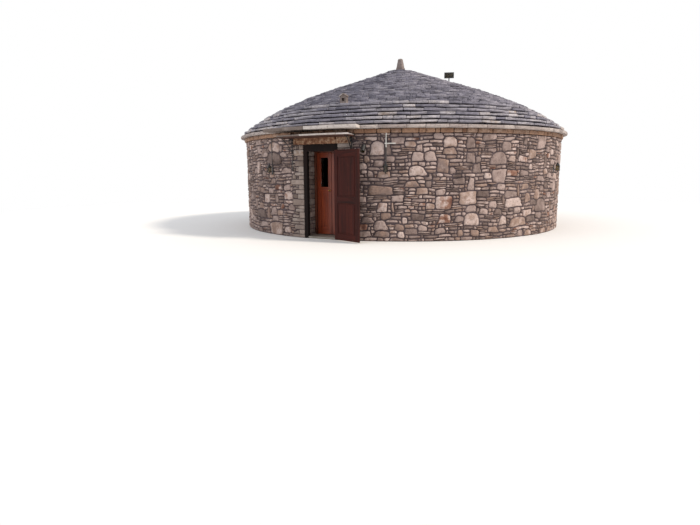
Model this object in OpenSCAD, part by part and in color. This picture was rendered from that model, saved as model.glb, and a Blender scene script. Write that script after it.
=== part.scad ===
// Round dry-stone house with a low roof of stepped stone slabs, in millimetres.
// The origin is the centre of the round room on the ground, +Z is up and the doorway faces -Y.
// Angles round the house are counted from the doorway, positive towards +X.

/* [Wall] */
// Outer radius of the round wall
wall_r = 4730; // [4300:10:5300]
// Thickness of the wall
wall_t = 750; // [680:10:850]
// Height of the wall under the corbel course
wall_h = 2490; // [2460:10:2700]
// Half angle of the masonry that the doorway and its two piers take up
pier_angle = 9.8; // [9.5:0.1:12]
// How far the dressed door piers stand out of the wall
quoin_proud = 12; // [0:1:20]

/* [Floor] */
// Height of the stone floor of the room
floor_h = 40; // [30:5:48]
// Height of the threshold stone
threshold_h = 50; // [48:1:60]

/* [Doorway] */
// Clear width of the stone opening
opening_w = 970; // [900:10:1000]
// Height of the lintel stones, whose tops are level with the wall's top
lintel_h = 210; // [180:10:240]
// Depth of the stone lintel into the wall
lintel_depth = 260; // [200:10:300]
// Distance of the joint between the two lintel stones from the right side of the opening
lintel_joint = 45; // [20:5:200]
// Height of the timber beams behind the lintel
beam_h = 100; // [80:5:120]
// Bearing of the timber beams on each pier
beam_bearing = 135; // [100:5:150]

/* [Outer door] */
// Width of the posts of the outer door frame
post_w = 97; // [80:1:110]
// Depth of the outer door frame
post_d = 100; // [80:5:130]
// Height of the head of the outer door frame
head_h = 170; // [140:5:190]
// Lap of the leaf over the posts
leaf_lap = 40; // [20:1:45]
// Thickness of the outer leaf
leaf_t = 45; // [38:1:50]
// Height of the leaf's lower edge over the ground
leaf_z0 = 25; // [20:1:30]
// Lap of the leaf over the frame's head
head_lap = 20; // [10:1:50]
// Width of the stiles of the outer leaf
stile_w = 115; // [90:5:130]
// Width of the rails of the outer leaf
rail_w = 150; // [120:5:180]
// Radius of the hinge pins
pin_r = 8; // [6:0.5:10]
// Angle at which the outer leaf stands open
outer_open = 160; // [0:1:165]

/* [Inner door] */
// Distance from the wall face to the front of the inner frame
inner_setback = 515; // [450:5:520]
// Width of the jambs of the inner frame
jamb_w = 60; // [50:1:70]
// Depth of the inner frame
jamb_d = 70; // [60:1:80]
// Thickness of the inner leaves
inner_t = 45; // [38:1:50]
// Height of the head of the inner frame
inner_head_h = 174; // [150:2:190]
// Width of the hinge stiles of the inner leaves
inner_stile = 110; // [90:1:120]
// Width of the meeting stiles of the inner leaves
meeting_stile = 88; // [70:1:95]
// Width of the top rail of the inner leaves
inner_top_rail = 130; // [100:5:150]
// Height of the glass
glass_h = 725; // [600:5:850]

/* [Roof] */
// How far the eave slabs stand out of the wall
eave_out = 150; // [120:5:200]
// Thickness of the eave slabs
eave_slab_h = 76; // [60:1:90]
// Height of the corbel course under the eave
corbel_h = 98; // [80:1:120]
// How far the corbel course stands out of the wall
corbel_out = 50; // [20:5:80]
// Pitch of the lower part of the roof
skirt_pitch = 44; // [40:0.5:46]
// Pitch of the upper part of the roof
cone_pitch = 18.9; // [17:0.1:20]
// Radius at which the two parts of the roof meet, as a share of the eave's radius
knee_share = 0.86; // [0.84:0.002:0.88]
// Rounding between the two parts of the roof
knee_blend = 1290; // [900:10:1400]
// Number of bold lower courses
lower_n = 6; // [5:1:7]
// Height of the packing layer under the slabs of a lower course
bed_h = 45; // [25:1:50]
// How far the packing layer stands back under its slabs
undercut = 60; // [20:5:70]
// Height of an upper course
upper_h = 50; // [44:1:56]
// Length of the slabs into the roof
slab_depth = 360; // [300:10:400]
// Radius at which the upper courses stop under the pinnacle
roof_top_r = 200; // [180:10:260]
// Number of courses in the solid cap
cap_n = 6; // [4:1:8]
// Rise of the vault over the top of the wall, as a share of the room's radius
vault_share = 0.367; // [0.33:0.001:0.37]
// Radius of the hole at the crown that the closing stone covers
crown_r = 350; // [250:10:420]
// Number of sectors that each round course is laid in
roof_sectors = 12; // [8:4:16]

/* [Pinnacle] */
// Width of the pinnacle at its foot
pinnacle_w0 = 250; // [220:10:340]
// Width of the pinnacle at its top
pinnacle_w1 = 120; // [90:10:220]
// Height of the pinnacle
pinnacle_h = 380; // [300:10:500]

/* [Canopy over the door] */
// How far the longer eave slabs over the door stand out of the wall
canopy_out = 470; // [350:10:600]
// Angle at which the longer slabs begin, on the left
canopy_a0 = -16.5; // [-20:0.5:-12]
// Angle at which the longer slabs end, on the right
canopy_a1 = 13.1; // [10:0.1:18]
// Number of longer slabs
canopy_n = 4; // [3:1:6]
// Depth of the shelf board under the top of the wall
shelf_drop = 65; // [65:5:130]
// Thickness of the shelf board
board_t = 25; // [20:1:30]
// Thickness of the drip slabs on the shelf
drip_t = 35; // [25:1:40]
// How far the shelf stands out of the wall
shelf_out = 485; // [400:5:550]
// Overhang of the drip slabs past the board
drip_out = 15; // [5:1:30]
// Angle that the shelf runs on past the left door pier
shelf_past_left = 0.7; // [0.6:0.1:2]
// Angle that the shelf runs on past the right door pier
shelf_past_right = 1.3; // [0.6:0.1:3.2]

/* [Wrought iron] */
// Width of the flat bar of the shelf brackets
bar_w = 30; // [25:1:40]
// Thickness of the flat bar
bar_t = 8; // [6:1:10]
// Height of the leg of a shelf bracket
leg_h = 800; // [700:10:850]
// Reach of the curved brace along the arm and down the leg
brace_reach = 360; // [300:10:400]
// Sagitta of the curved brace
brace_bow = 30; // [20:2:60]
// Radius of the ring in the corner of the bracket
scroll_r = 55; // [40:1:65]

/* [Lamps] */
// Angles of the wall lanterns round the house
lantern_angles = [-83, -20, 20, 83];
// Depth of the lower end of the lanterns under the top of the wall
lantern_drop = 930; // [800:10:1100]
// Distance of the lantern's axis from the wall
lantern_out = 105; // [95:1:140]
// Radius of the glass of a lantern
lantern_r = 44; // [38:1:50]
// Height of the glass of a lantern
lantern_glass_h = 120; // [90:5:150]
// Angle from the right end of the shelf to the spot lamp
spot_past = 2.8; // [0.8:0.1:4]
// Depth of the spot lamp's wall plate under the top of the wall
spot_drop = 300; // [240:10:340]
// Radius of the spot lamp's head
spot_r = 52; // [45:1:60]
// Length of the spot lamp's head
spot_l = 150; // [120:5:170]
// Angle of the floodlight on the roof
flood_angle = 118; // [100:1:130]
// Width of the floodlight
flood_w = 290; // [240:5:320]
// Height of the floodlight
flood_h = 170; // [150:5:200]
// Height of the floodlight's stem
flood_stem_h = 205; // [180:5:300]

/* [Roof vent] */
// Angle of the vent stub on the roof
vent_angle = 3.3; // [-10:0.1:10]
// Width of the vent stub
vent_w = 170; // [150:5:200]
// Height of the vent stub to its ridge
vent_h = 215; // [180:5:240]
// Width of the vent hole
vent_hole = 80; // [60:5:90]

/* [Hidden] */
WALLS = ["wall_front_right", "wall_right", "wall_back_right", "wall_rear_right",
         "wall_rear_left", "wall_back_left", "wall_left", "wall_front_left"];

// Facets of full turns round the house, and of small round parts
round_fn = 256;
small_fn = 32;
// Gap under or beside a seated piece, joint between two stones of a ring, and reach of a cutting block
seat = 0.3;
joint = 2;
far = 20000;

room_r = wall_r - wall_t;
half_opening = opening_w / 2;
lintel_z = wall_h - lintel_h;
lintel_joint_x = half_opening - lintel_joint;
segment_angle = (360 - 2 * pier_angle) / len(WALLS);
lintel_back_y = -(wall_r - lintel_depth);

eave_r = wall_r + eave_out;
canopy_r = wall_r + canopy_out;
eave_z = wall_h + corbel_h;
skirt_foot_z = eave_z + 28;
knee_r = eave_r * knee_share;
knee_z = skirt_foot_z + (eave_r - knee_r) * tan(skirt_pitch);
apex_z = knee_z + knee_r * tan(cone_pitch);
lower_h = (knee_z - eave_z - eave_slab_h) / lower_n;
upper_n = round((apex_z - roof_top_r * tan(cone_pitch) - knee_z) / upper_h);
course_n = 1 + lower_n + upper_n;
cap_k = course_n - cap_n;
vault_rise = room_r * vault_share;
vault_r = (room_r * room_r + vault_rise * vault_rise) / (2 * vault_rise);
vault_z = wall_h + vault_rise - vault_r;
crown_ledge = 80;
crown_z = vault_z + sqrt(vault_r * vault_r - crown_r * crown_r) + 60;
// Heights between which the rings of the vault are laid
vault_beds = [0, 0.35 * vault_rise, 0.65 * vault_rise, vault_rise + 1000];

shelf_z = wall_h - shelf_drop;
shelf_a0 = -(pier_angle + shelf_past_left);
shelf_a1 = pier_angle + shelf_past_right;
bracket_angle = pier_angle + 0.35;

frame_y = -(wall_r - 30);
frame_x = half_opening - post_w;
head_z = lintel_z - head_h;
leaf_x = frame_x + leaf_lap;
leaf_gap = 5;
leaf_y0 = frame_y - leaf_gap - leaf_t;
leaf_z1 = head_z + head_lap;
strap_t = 6;
strap_l = leaf_x;
pintle_x = leaf_x + 2 * pin_r;
pintle_y = leaf_y0 - strap_t / 2;
pintle_arm_t = 14;
// Levels of the three hinges, as shares of the leaf's height
pintle_levels = [for (share = [0.13, 0.5, 0.87]) leaf_z0 + share * (leaf_z1 - leaf_z0)];
eye_h = 42;
eye_r = pin_r + strap_t;

inner_y0 = -(wall_r - inner_setback);
inner_y1 = inner_y0 + jamb_d;
inner_x = half_opening - jamb_w;
inner_edge_gap = 7;
meeting_gap = 6.5;
inner_z1 = lintel_z - inner_head_h - 6;
glass_z1 = inner_z1 - inner_top_rail;
glass_z0 = glass_z1 - glass_h;
inner_leaf_x = inner_x - inner_edge_gap;
inner_leaf_z0 = threshold_h + 8;
inner_mid_rail = 110;
inner_bottom_rail = 180;
barrel_r = 8;
barrel_h = 45;
barrel_x = inner_leaf_x + 1;
barrel_y = inner_y1 + barrel_r + 1;
hinge_plate_w = 45;
// Levels of the butt hinges, as shares of the leaf's height
hinge_levels = [for (share = [0.13, 0.5, 0.87]) inner_leaf_z0 + share * (inner_z1 - inner_leaf_z0)];
glass_t = 6;
knob_z = glass_z0 - inner_mid_rail / 2 - 30;

// Smaller of two values with a rounded change-over of width k
function soft_min(a, b, k) = min(a, b) - pow(max(k - abs(a - b), 0), 2) / (4 * k);

// Radius of the roof's surface at a height: a steep skirt under a low cone
function roof_r(z) = soft_min(
    eave_r - (z - skirt_foot_z) / tan(skirt_pitch), (apex_z - z) / tan(cone_pitch), knee_blend);

// Height of the bed of course k; course 0 is the eave, and the lower and upper courses follow
function course_z(k) =
    k == 0 ? eave_z :
    k <= lower_n + 1 ? eave_z + eave_slab_h + (k - 1) * lower_h :
    knee_z + (k - lower_n - 1) * upper_h;

function is_lower(k) = k >= 1 && k <= lower_n;

// Radius of the edge of the slabs of course k
function course_r(k) = k == 0 ? eave_r : roof_r(course_z(k) + (is_lower(k) ? bed_h : 0));

// Outline of the edge of course k, from its bed to its top
function course_edge(k) = is_lower(k) ? [
    [course_r(k) - undercut, course_z(k)],
    [course_r(k) - undercut, course_z(k) + bed_h],
    [course_r(k), course_z(k) + bed_h],
    [course_r(k), course_z(k + 1)]
] : [
    [course_r(k), course_z(k)],
    [course_r(k), course_z(k + 1)]
];

// Point where the slabs of course k end inside the roof
function course_back(k) = [roof_r(course_z(k)) - slab_depth, course_z(k)];

foot_r = course_back(1)[0];

// Turns an outline round the house from angle a0 to angle a1
module sector(a0, a1) {
    rotate([0, 0, a0 - 90]) rotate_extrude(angle = a1 - a0, $fn = round_fn) children();
}

// Lays an outline round the house in equal sectors between two angles, with open joints
module laid_ring(n, a0 = 0, a1 = 360, r = wall_r) {
    step = (a1 - a0) / n;
    half_joint = joint / r * 90 / PI;
    for (i = [0 : n - 1]) {
        sector(a0 + i * step + half_joint, a0 + (i + 1) * step - half_joint) children();
    }
}

// Puts a piece on a vertical face at an angle round the house, with local -Y pointing out
module against(a, r, z) {
    rotate([0, 0, a]) translate([0, -r, z]) children();
}

module box(x0, x1, y0, y1, z0, z1) {
    translate([x0, y0, z0]) cube([x1 - x0, y1 - y0, z1 - z0]);
}

// Box between two opposite x values, mirrored about the middle of the doorway
module pair_of_boxes(x0, x1, y0, y1, z0, z1) {
    box(x0, x1, y0, y1, z0, z1);
    box(-x1, -x0, y0, y1, z0, z1);
}

module wall_segment(i) {
    a0 = pier_angle + i * segment_angle;
    end_gap = seat / room_r * 90 / PI;
    color("tan") sector(a0 + end_gap, a0 + segment_angle - end_gap)
        translate([room_r, 0]) square([wall_t, wall_h]);
}

module floor_slab() {
    color("darkgray") cylinder(r = room_r - seat, h = floor_h, $fn = round_fn);
}

module threshold_stone() {
    color("gray") {
        difference() {
            box(-half_opening + seat, half_opening - seat, frame_y + 10, -room_r, 0, threshold_h);
            pair_of_boxes(frame_x - 5, half_opening, frame_y, frame_y + post_d + 5, -1, threshold_h + 1);
        }
    }
}

module door_pier() {
    color("burlywood") difference() {
        sector(0, pier_angle - seat / room_r * 90 / PI)
            translate([room_r, 0]) square([wall_t + quoin_proud, lintel_z]);
        box(-1, half_opening, -far, 0, -1, lintel_z + 1);
    }
}

module door_pier_right() door_pier();

module door_pier_left() mirror([1, 0, 0]) door_pier();

// Block of masonry over the doorway and its piers, from the lintel's bed to the wall top
module over_doorway() {
    a = pier_angle - seat / room_r * 90 / PI;
    sector(-a, a) translate([room_r, lintel_z + seat]) square([wall_t, lintel_h - seat]);
}

module stone_lintel() {
    ends = [[-wall_r, lintel_joint_x - joint], [lintel_joint_x + joint, wall_r]];
    color("peru") for (e = ends) {
        intersection() {
            over_doorway();
            box(e[0], e[1], -far, lintel_back_y, 0, far);
        }
    }
}

module lintel_beams() {
    n = 3;
    gap = 6;
    x = half_opening + beam_bearing;
    d = (-room_r - 10 - lintel_back_y - (n - 1) * gap) / n;
    color("saddlebrown") for (i = [0 : n - 1]) {
        y = lintel_back_y + i * (d + gap);
        box(-x, x, y + seat, y + d, lintel_z + seat, lintel_z + beam_h);
    }
}

module wall_over_door() {
    x = half_opening + beam_bearing;
    color("tan") difference() {
        over_doorway();
        box(-far, far, -far, lintel_back_y + seat, 0, far);
        box(-x - seat, x + seat, -far, 0, 0, lintel_z + beam_h + seat);
    }
}

module corbel_course() {
    color("peru") laid_ring(roof_sectors) translate([foot_r, wall_h + seat])
        square([wall_r + corbel_out - foot_r, corbel_h - seat]);
}

module eave_course() {
    color("lightgray") laid_ring(roof_sectors, canopy_a1, 360 + canopy_a0)
        translate([foot_r, eave_z + seat]) square([eave_r - foot_r, eave_slab_h - seat]);
}

module canopy_slabs() {
    color("lightgray") laid_ring(canopy_n, canopy_a0, canopy_a1) translate([foot_r, eave_z + seat])
        square([canopy_r - foot_r, eave_slab_h - seat]);
}

// Stepped outline of courses k0 to k1, closed along the backs of their slabs
module stepped_courses(k0, k1) {
    edges = [for (k = [k0 : k1]) each course_edge(k)];
    backs = [for (k = [k1 + 1 : -1 : k0]) course_back(k)];
    difference() {
        polygon(concat(edges, backs));
        translate([0, course_z(k0) - 1]) square([far, 1 + seat]);
    }
}

module roof_lower_courses() {
    color("slategray") laid_ring(roof_sectors, 20, 380) stepped_courses(1, lower_n);
}

module roof_upper_courses() {
    color("lightslategray") laid_ring(roof_sectors, 5, 365, eave_r / 2)
        stepped_courses(lower_n + 1, cap_k - 1);
}

module roof_cap() {
    z0 = course_z(cap_k) + seat;
    edges = [for (k = [cap_k : course_n - 1]) each course_edge(k)];
    color("slategray") rotate_extrude($fn = round_fn)
        polygon(concat([[0, z0], [edges[0][0], z0]], [for (i = [1 : len(edges) - 1]) edges[i]],
            [[0, course_z(course_n)]]));
}

// Shell between the round underside of the vault and the backs of the roof slabs
module vault_shell() {
    backs = [for (k = [1 : cap_k]) course_back(k) - [seat, 0]];
    top_z = course_z(cap_k);
    difference() {
        polygon(concat([[room_r, wall_h], [foot_r - seat, wall_h]], backs,
            [[crown_r + crown_ledge, top_z], [crown_r + crown_ledge, crown_z], [crown_r, crown_z],
             [crown_r, wall_h]]));
        translate([0, vault_z]) circle(r = vault_r, $fn = round_fn);
        translate([0, wall_h - 1]) square([far, 1 + seat]);
    }
}

// The vault's stones lie in flat-bedded rings, each set in over the one below
module roof_vault() {
    color("wheat") for (i = [0 : len(vault_beds) - 2]) {
        laid_ring(roof_sectors, 15, 375, room_r / 2) intersection() {
            vault_shell();
            translate([0, wall_h + vault_beds[i] + seat])
                square([far, vault_beds[i + 1] - vault_beds[i] - seat]);
        }
    }
}

module vault_crown() {
    color("wheat") translate([0, 0, crown_z + seat])
        cylinder(r = crown_r + crown_ledge - joint, h = course_z(cap_k) - crown_z - seat, $fn = round_fn);
}

module pinnacle() {
    z0 = course_z(course_n) + seat;
    neck = pinnacle_w0 * 0.86;
    color("gainsboro") hull() {
        translate([-pinnacle_w0 / 2, -neck / 2, z0]) cube([pinnacle_w0, neck, 60]);
        translate([-neck / 2, -pinnacle_w0 / 2, z0]) cube([neck, pinnacle_w0, 90]);
        translate([-pinnacle_w1 / 2, -pinnacle_w1 / 2, z0 + pinnacle_h - 60])
            cube([pinnacle_w1 * 0.92, pinnacle_w1, 60]);
    }
}

vent_k = lower_n;
vent_r = course_r(vent_k) - 5;
vent_d = course_r(vent_k) - course_r(vent_k + 1) - 8;
vent_side_h = vent_h - vent_w / 2 * tan(30);

module roof_vent() {
    color("darkgray") against(vent_angle, vent_r, course_z(vent_k + 1) + seat) difference() {
        rotate([90, 0, 180]) linear_extrude(vent_d)
            polygon([[-vent_w / 2, 0], [vent_w / 2, 0], [vent_w / 2, vent_side_h], [0, vent_h],
                     [-vent_w / 2, vent_side_h]]);
        box(-vent_hole / 2, vent_hole / 2, -1, vent_d * 0.8, 50, 50 + vent_hole);
    }
}

module vent_cover() {
    t = 24;
    over = 22;
    color("whitesmoke") against(vent_angle, vent_r, course_z(vent_k + 1) + vent_h)
        for (s = [-1, 1]) {
            mirror([s < 0 ? 1 : 0, 0, 0]) rotate([90, 0, 180]) translate([0, 0, -over])
                linear_extrude(vent_d + over) polygon([[-1, 0.3], [-1, t],
                    [-vent_w / 2 - over, t - (vent_w / 2 + over) * tan(30)],
                    [-vent_w / 2 - over, 0.3 - (vent_w / 2 + over) * tan(30)]]);
        }
}

module shelf_board() {
    color("maroon") sector(shelf_a0, shelf_a1) translate([wall_r + quoin_proud + seat, shelf_z])
        square([shelf_out - quoin_proud - seat, board_t]);
}

module drip_slabs() {
    cuts = [shelf_a0, -2.6, 7.7, shelf_a1];
    half_joint = joint / canopy_r * 90 / PI;
    color("mistyrose") for (i = [0 : len(cuts) - 2]) {
        sector(cuts[i] + half_joint, cuts[i + 1] - half_joint)
            translate([wall_r + seat, shelf_z + board_t + seat])
                square([shelf_out + drip_out - seat, drip_t - seat]);
    }
}

// Flat-bar bracket in its own upright plane: x runs out from the wall and y runs up to the shelf
module bracket_outline() {
    arm = shelf_out - 30;
    chord = brace_reach * sqrt(2);
    arc_r = (chord * chord / 4 + brace_bow * brace_bow) / (2 * brace_bow);
    // Centre of the brace's arc, on the outer side of its chord
    off = (arc_r - brace_bow) / sqrt(2) + brace_reach / 2;
    translate([0, -leg_h]) square([bar_t, leg_h]);
    translate([0, -bar_t]) square([arm, bar_t]);
    intersection() {
        translate([off, -off]) difference() {
            circle(r = arc_r + bar_t / 2, $fn = 128);
            circle(r = arc_r - bar_t / 2, $fn = 128);
        }
        translate([0, -brace_reach - bar_t]) square(brace_reach + bar_t);
    }
    translate([bar_t + scroll_r - 1, -bar_t - scroll_r + 1]) difference() {
        circle(r = scroll_r, $fn = 64);
        circle(r = scroll_r - bar_t, $fn = 64);
    }
}

module shelf_brackets() {
    color("dimgray") for (a = [-bracket_angle, bracket_angle]) {
        against(a, wall_r + seat, shelf_z - seat) rotate([90, 0, -90]) translate([0, 0, -bar_w / 2])
            linear_extrude(bar_w) bracket_outline();
    }
}

lantern_z = wall_h - lantern_drop;
lantern_base_h = 14;
lantern_cap_h = 70;

// Hexagonal lantern on a curved arm, with its wall plate
module lantern_frame() {
    wide = lantern_r + 10;
    top = lantern_base_h + lantern_glass_h;
    translate([-30, -bar_t, -50]) cube([60, bar_t, 190]);
    translate([0, -lantern_out, 0]) {
        cylinder(r = wide, h = lantern_base_h, $fn = 6);
        for (i = [0 : 5]) {
            rotate([0, 0, i * 60]) translate([lantern_r + 1, -4, 0]) cube([8, 8, top + 8]);
        }
        translate([0, 0, top]) cylinder(r = wide + 6, h = 8, $fn = 6);
        translate([0, 0, top + 8]) cylinder(r1 = wide + 4, r2 = 12, h = lantern_cap_h, $fn = 6);
        translate([0, 0, top + lantern_cap_h]) cylinder(r = 7, h = 40, $fn = small_fn);
        translate([0, 0, -30]) cylinder(r = 10, h = 30, $fn = small_fn);
    }
    // Arm from the foot of the lantern back to the plate
    translate([-6, -lantern_out, -42]) cube([12, lantern_out - bar_t, 12]);
}

module lantern_frames() {
    color("black") for (a = lantern_angles) {
        against(a, wall_r + seat, lantern_z + 50) lantern_frame();
    }
}

module lantern_glass() {
    color("lightyellow") for (a = lantern_angles) {
        against(a, wall_r + seat, lantern_z + 50 + lantern_base_h + seat) translate([0, -lantern_out, 0])
            difference() {
                cylinder(r = lantern_r - 2, h = lantern_glass_h - 2 * seat, $fn = 6);
                translate([0, 0, -1]) cylinder(r = lantern_r - 6, h = lantern_glass_h + 2, $fn = 6);
            }
    }
}

conduit_r = 11;

module conduit_left() {
    z0 = lantern_z + 200;
    color("dimgray") against(lantern_angles[1], wall_r + conduit_r + seat, z0)
        cylinder(r = conduit_r, h = wall_h - z0, $fn = small_fn);
}

module conduit_right() {
    branch_z = wall_h - 235;
    branch_a = 2.6;
    z0 = lantern_z + 200;
    color("white") {
        against(lantern_angles[2], wall_r + conduit_r + seat, z0)
            cylinder(r = conduit_r, h = wall_h - z0, $fn = small_fn);
        sector(lantern_angles[2] - 0.4, lantern_angles[2] + branch_a)
            translate([wall_r + conduit_r + seat, branch_z]) circle(r = conduit_r, $fn = small_fn);
    }
}

spot_angle = shelf_a1 + spot_past;
spot_z = wall_h - spot_drop;
spot_tilt = 50;

// Leaves the wall plate on a short arm, and its head points out and down
module spot_frame() {
    against(spot_angle, wall_r + seat, spot_z) children();
}

module spot_lamp() {
    color("black") spot_frame() {
        translate([-35, -bar_t, -45]) cube([70, bar_t, 90]);
        translate([0, -bar_t, 0]) rotate([90, 0, 0]) cylinder(r = 11, h = 90, $fn = small_fn);
        translate([0, -95, 0]) rotate([90 + spot_tilt, 0, 0]) difference() {
            translate([0, 0, -20]) cylinder(r = spot_r, h = spot_l + 20, $fn = 64);
            translate([0, 0, spot_l - 25]) cylinder(r = spot_r - 5, h = 30, $fn = 64);
        }
    }
}

module spot_lamp_lens() {
    color("lightblue") spot_frame() translate([0, -95, 0]) rotate([90 + spot_tilt, 0, 0])
        translate([0, 0, spot_l - 25 + seat]) cylinder(r = spot_r - 5 - seat, h = 6, $fn = 64);
}

flood_k = lower_n + 19;
flood_r = (course_r(flood_k) + course_r(flood_k + 1)) / 2;
flood_d = 90;
flood_tilt = 12;

module flood_frame() {
    rotate([0, 0, flood_angle]) translate([0, -flood_r, course_z(flood_k + 1)])
        rotate([0, 0, 20 - flood_angle]) children();
}

module floodlight() {
    color("darkslategray") flood_frame() {
        translate([-55, -55, 0]) cube([110, 110, 8]);
        cylinder(r = 16, h = flood_stem_h + 30, $fn = small_fn);
        translate([0, 0, flood_stem_h]) rotate([flood_tilt, 0, 0]) difference() {
            translate([-flood_w / 2, -flood_d / 2, 0]) cube([flood_w, flood_d, flood_h]);
            translate([-flood_w / 2 + 14, -flood_d / 2 - 1, 14]) cube([flood_w - 28, 22, flood_h - 28]);
        }
    }
}

module floodlight_glass() {
    color("silver") flood_frame() translate([0, 0, flood_stem_h]) rotate([flood_tilt, 0, 0])
        translate([-flood_w / 2 + 14 + seat, -flood_d / 2 + 12, 14 + seat])
            cube([flood_w - 28 - 2 * seat, 6, flood_h - 28 - 2 * seat]);
}

module outer_door_frame() {
    x = half_opening - seat;
    color("saddlebrown") {
        pair_of_boxes(frame_x, x, frame_y, frame_y + post_d, 0, head_z);
        box(-x, x, frame_y, frame_y + post_d, head_z, lintel_z - seat);
    }
}

module outer_door_pintles() {
    arm_w = 1.5 * pin_r;
    color("dimgray") for (z = pintle_levels) {
        translate([pintle_x, pintle_y, z]) cylinder(r = pin_r, h = eye_h + pin_r, $fn = small_fn);
        translate([pintle_x, pintle_y, z - pintle_arm_t])
            cylinder(r = 1.5 * pin_r, h = pintle_arm_t, $fn = small_fn);
        box(pintle_x - arm_w / 2, pintle_x + arm_w / 2, pintle_y, frame_y, z - pintle_arm_t, z);
    }
}

// Turns the outer leaf from its closed place to the angle at which it stands open
module outer_swing() {
    translate([pintle_x, pintle_y, 0]) rotate([0, 0, outer_open])
        translate([-pintle_x, -pintle_y, 0]) children();
}

// Recess on both faces of a leaf that lies between two heights
module panel_recess(x0, x1, y0, t, z0, z1, deep) {
    for (y = [y0 - 1, y0 + t - deep]) {
        box(x0, x1, y, y + deep + 1, z0, z1);
    }
}

// Field of a panel, raised on both faces inside its recess
module panel_field(x0, x1, y0, t, z0, z1) {
    edge = 35;
    low = 5;
    box(x0 + edge, x1 - edge, y0 + low, y0 + t - low, z0 + edge, z1 - edge);
}

module outer_leaf() {
    x0 = -leaf_x + stile_w;
    x1 = leaf_x - stile_w;
    mid = (leaf_z0 + leaf_z1) / 2 - 100;
    fields = [[leaf_z0 + rail_w, mid - rail_w / 2], [mid + rail_w / 2, leaf_z1 - rail_w]];
    color("#3a1210") outer_swing() {
        difference() {
            box(-leaf_x, leaf_x, leaf_y0, leaf_y0 + leaf_t, leaf_z0, leaf_z1);
            for (f = fields) panel_recess(x0, x1, leaf_y0, leaf_t, f[0], f[1], 14);
        }
        for (f = fields) panel_field(x0, x1, leaf_y0, leaf_t, f[0], f[1]);
    }
}

module outer_leaf_straps() {
    color("dimgray") outer_swing() for (z = pintle_levels) {
        difference() {
            union() {
                box(leaf_x - strap_l, pintle_x, leaf_y0 - strap_t, leaf_y0, z + 2, z + eye_h);
                translate([pintle_x, pintle_y, z + 1]) cylinder(r = eye_r, h = eye_h, $fn = small_fn);
            }
            translate([pintle_x, pintle_y, z]) cylinder(r = pin_r + 0.5, h = eye_h + 10, $fn = small_fn);
        }
    }
}

module inner_door_frame() {
    x = half_opening - seat;
    color("chocolate") {
        pair_of_boxes(inner_x, x, inner_y0, inner_y1, threshold_h, inner_z1 + 6);
        box(-x, x, inner_y0, inner_y1, inner_z1 + 6, lintel_z - seat);
    }
}

// Lower half of a butt hinge on the right jamb: plate, barrel and the pin that stands out of it
module frame_hinge(z) {
    box(barrel_x, barrel_x + hinge_plate_w, inner_y1, inner_y1 + 3, z, z + barrel_h);
    translate([barrel_x, barrel_y, z]) cylinder(r = barrel_r, h = barrel_h, $fn = small_fn);
    translate([barrel_x, barrel_y, z + barrel_h]) cylinder(r = 4, h = barrel_h - 5, $fn = small_fn);
}

module inner_frame_hinges() {
    color("dimgray") for (z = hinge_levels) {
        frame_hinge(z);
        mirror([1, 0, 0]) frame_hinge(z);
    }
}

// Right leaf of the inner door, with the upper halves of its hinges
module inner_leaf() {
    y0 = inner_y1 - inner_t;
    x0 = meeting_gap + meeting_stile;
    x1 = inner_leaf_x - inner_stile;
    z0 = inner_leaf_z0 + inner_bottom_rail;
    z1 = glass_z0 - inner_mid_rail;
    color("sienna") difference() {
        union() {
            difference() {
                box(meeting_gap, inner_leaf_x, y0, inner_y1, inner_leaf_z0, inner_z1);
                box(x0, x1, y0 - 1, inner_y1 + 1, glass_z0, glass_z1);
                panel_recess(x0, x1, y0, inner_t, z0, z1, 14);
            }
            panel_field(x0, x1, y0, inner_t, z0, z1);
            for (z = hinge_levels) {
                translate([barrel_x, barrel_y, z + barrel_h + 1])
                    cylinder(r = barrel_r, h = barrel_h, $fn = small_fn);
                box(barrel_x - hinge_plate_w, barrel_x, inner_y1 - 1, inner_y1 + 3,
                    z + barrel_h + 1, z + 2 * barrel_h + 1);
            }
        }
        for (z = hinge_levels) {
            translate([barrel_x, barrel_y, z + barrel_h]) cylinder(r = 4.3, h = barrel_h, $fn = small_fn);
        }
    }
}

module inner_glass() {
    y = inner_y1 - inner_t / 2 - glass_t / 2;
    color("lightblue") box(meeting_gap + meeting_stile + seat, inner_leaf_x - inner_stile - seat,
        y, y + glass_t, glass_z0 + seat, glass_z1 - seat);
}

module inner_leaf_right() inner_leaf();

module inner_leaf_left() mirror([1, 0, 0]) inner_leaf();

module inner_glass_right() inner_glass();

module inner_glass_left() mirror([1, 0, 0]) inner_glass();

// Round knobs on both faces of the left leaf's meeting stile
module inner_knob_left() {
    x = -(meeting_gap + meeting_stile / 2);
    color("goldenrod") for (side = [[inner_y1, -90], [inner_y1 - inner_t, 90]]) {
        translate([x, side[0], knob_z]) rotate([side[1], 0, 0]) {
            cylinder(r = 20, h = 4, $fn = small_fn);
            cylinder(r = 9, h = 40, $fn = small_fn);
            translate([0, 0, 40]) sphere(r = 22, $fn = small_fn);
        }
    }
}

for (i = [0 : len(WALLS) - 1]) {
    wall_segment(i);
}
floor_slab();
threshold_stone();
door_pier_left();
door_pier_right();
stone_lintel();
lintel_beams();
wall_over_door();
corbel_course();
eave_course();
canopy_slabs();
roof_lower_courses();
roof_upper_courses();
roof_cap();
pinnacle();
roof_vault();
vault_crown();
roof_vent();
vent_cover();
shelf_board();
drip_slabs();
shelf_brackets();
lantern_frames();
lantern_glass();
conduit_left();
conduit_right();
spot_lamp();
spot_lamp_lens();
floodlight();
floodlight_glass();
outer_door_frame();
outer_door_pintles();
inner_door_frame();
inner_frame_hinges();
outer_leaf();
outer_leaf_straps();
inner_leaf_left();
inner_glass_left();
inner_knob_left();
inner_leaf_right();
inner_glass_right();
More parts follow.
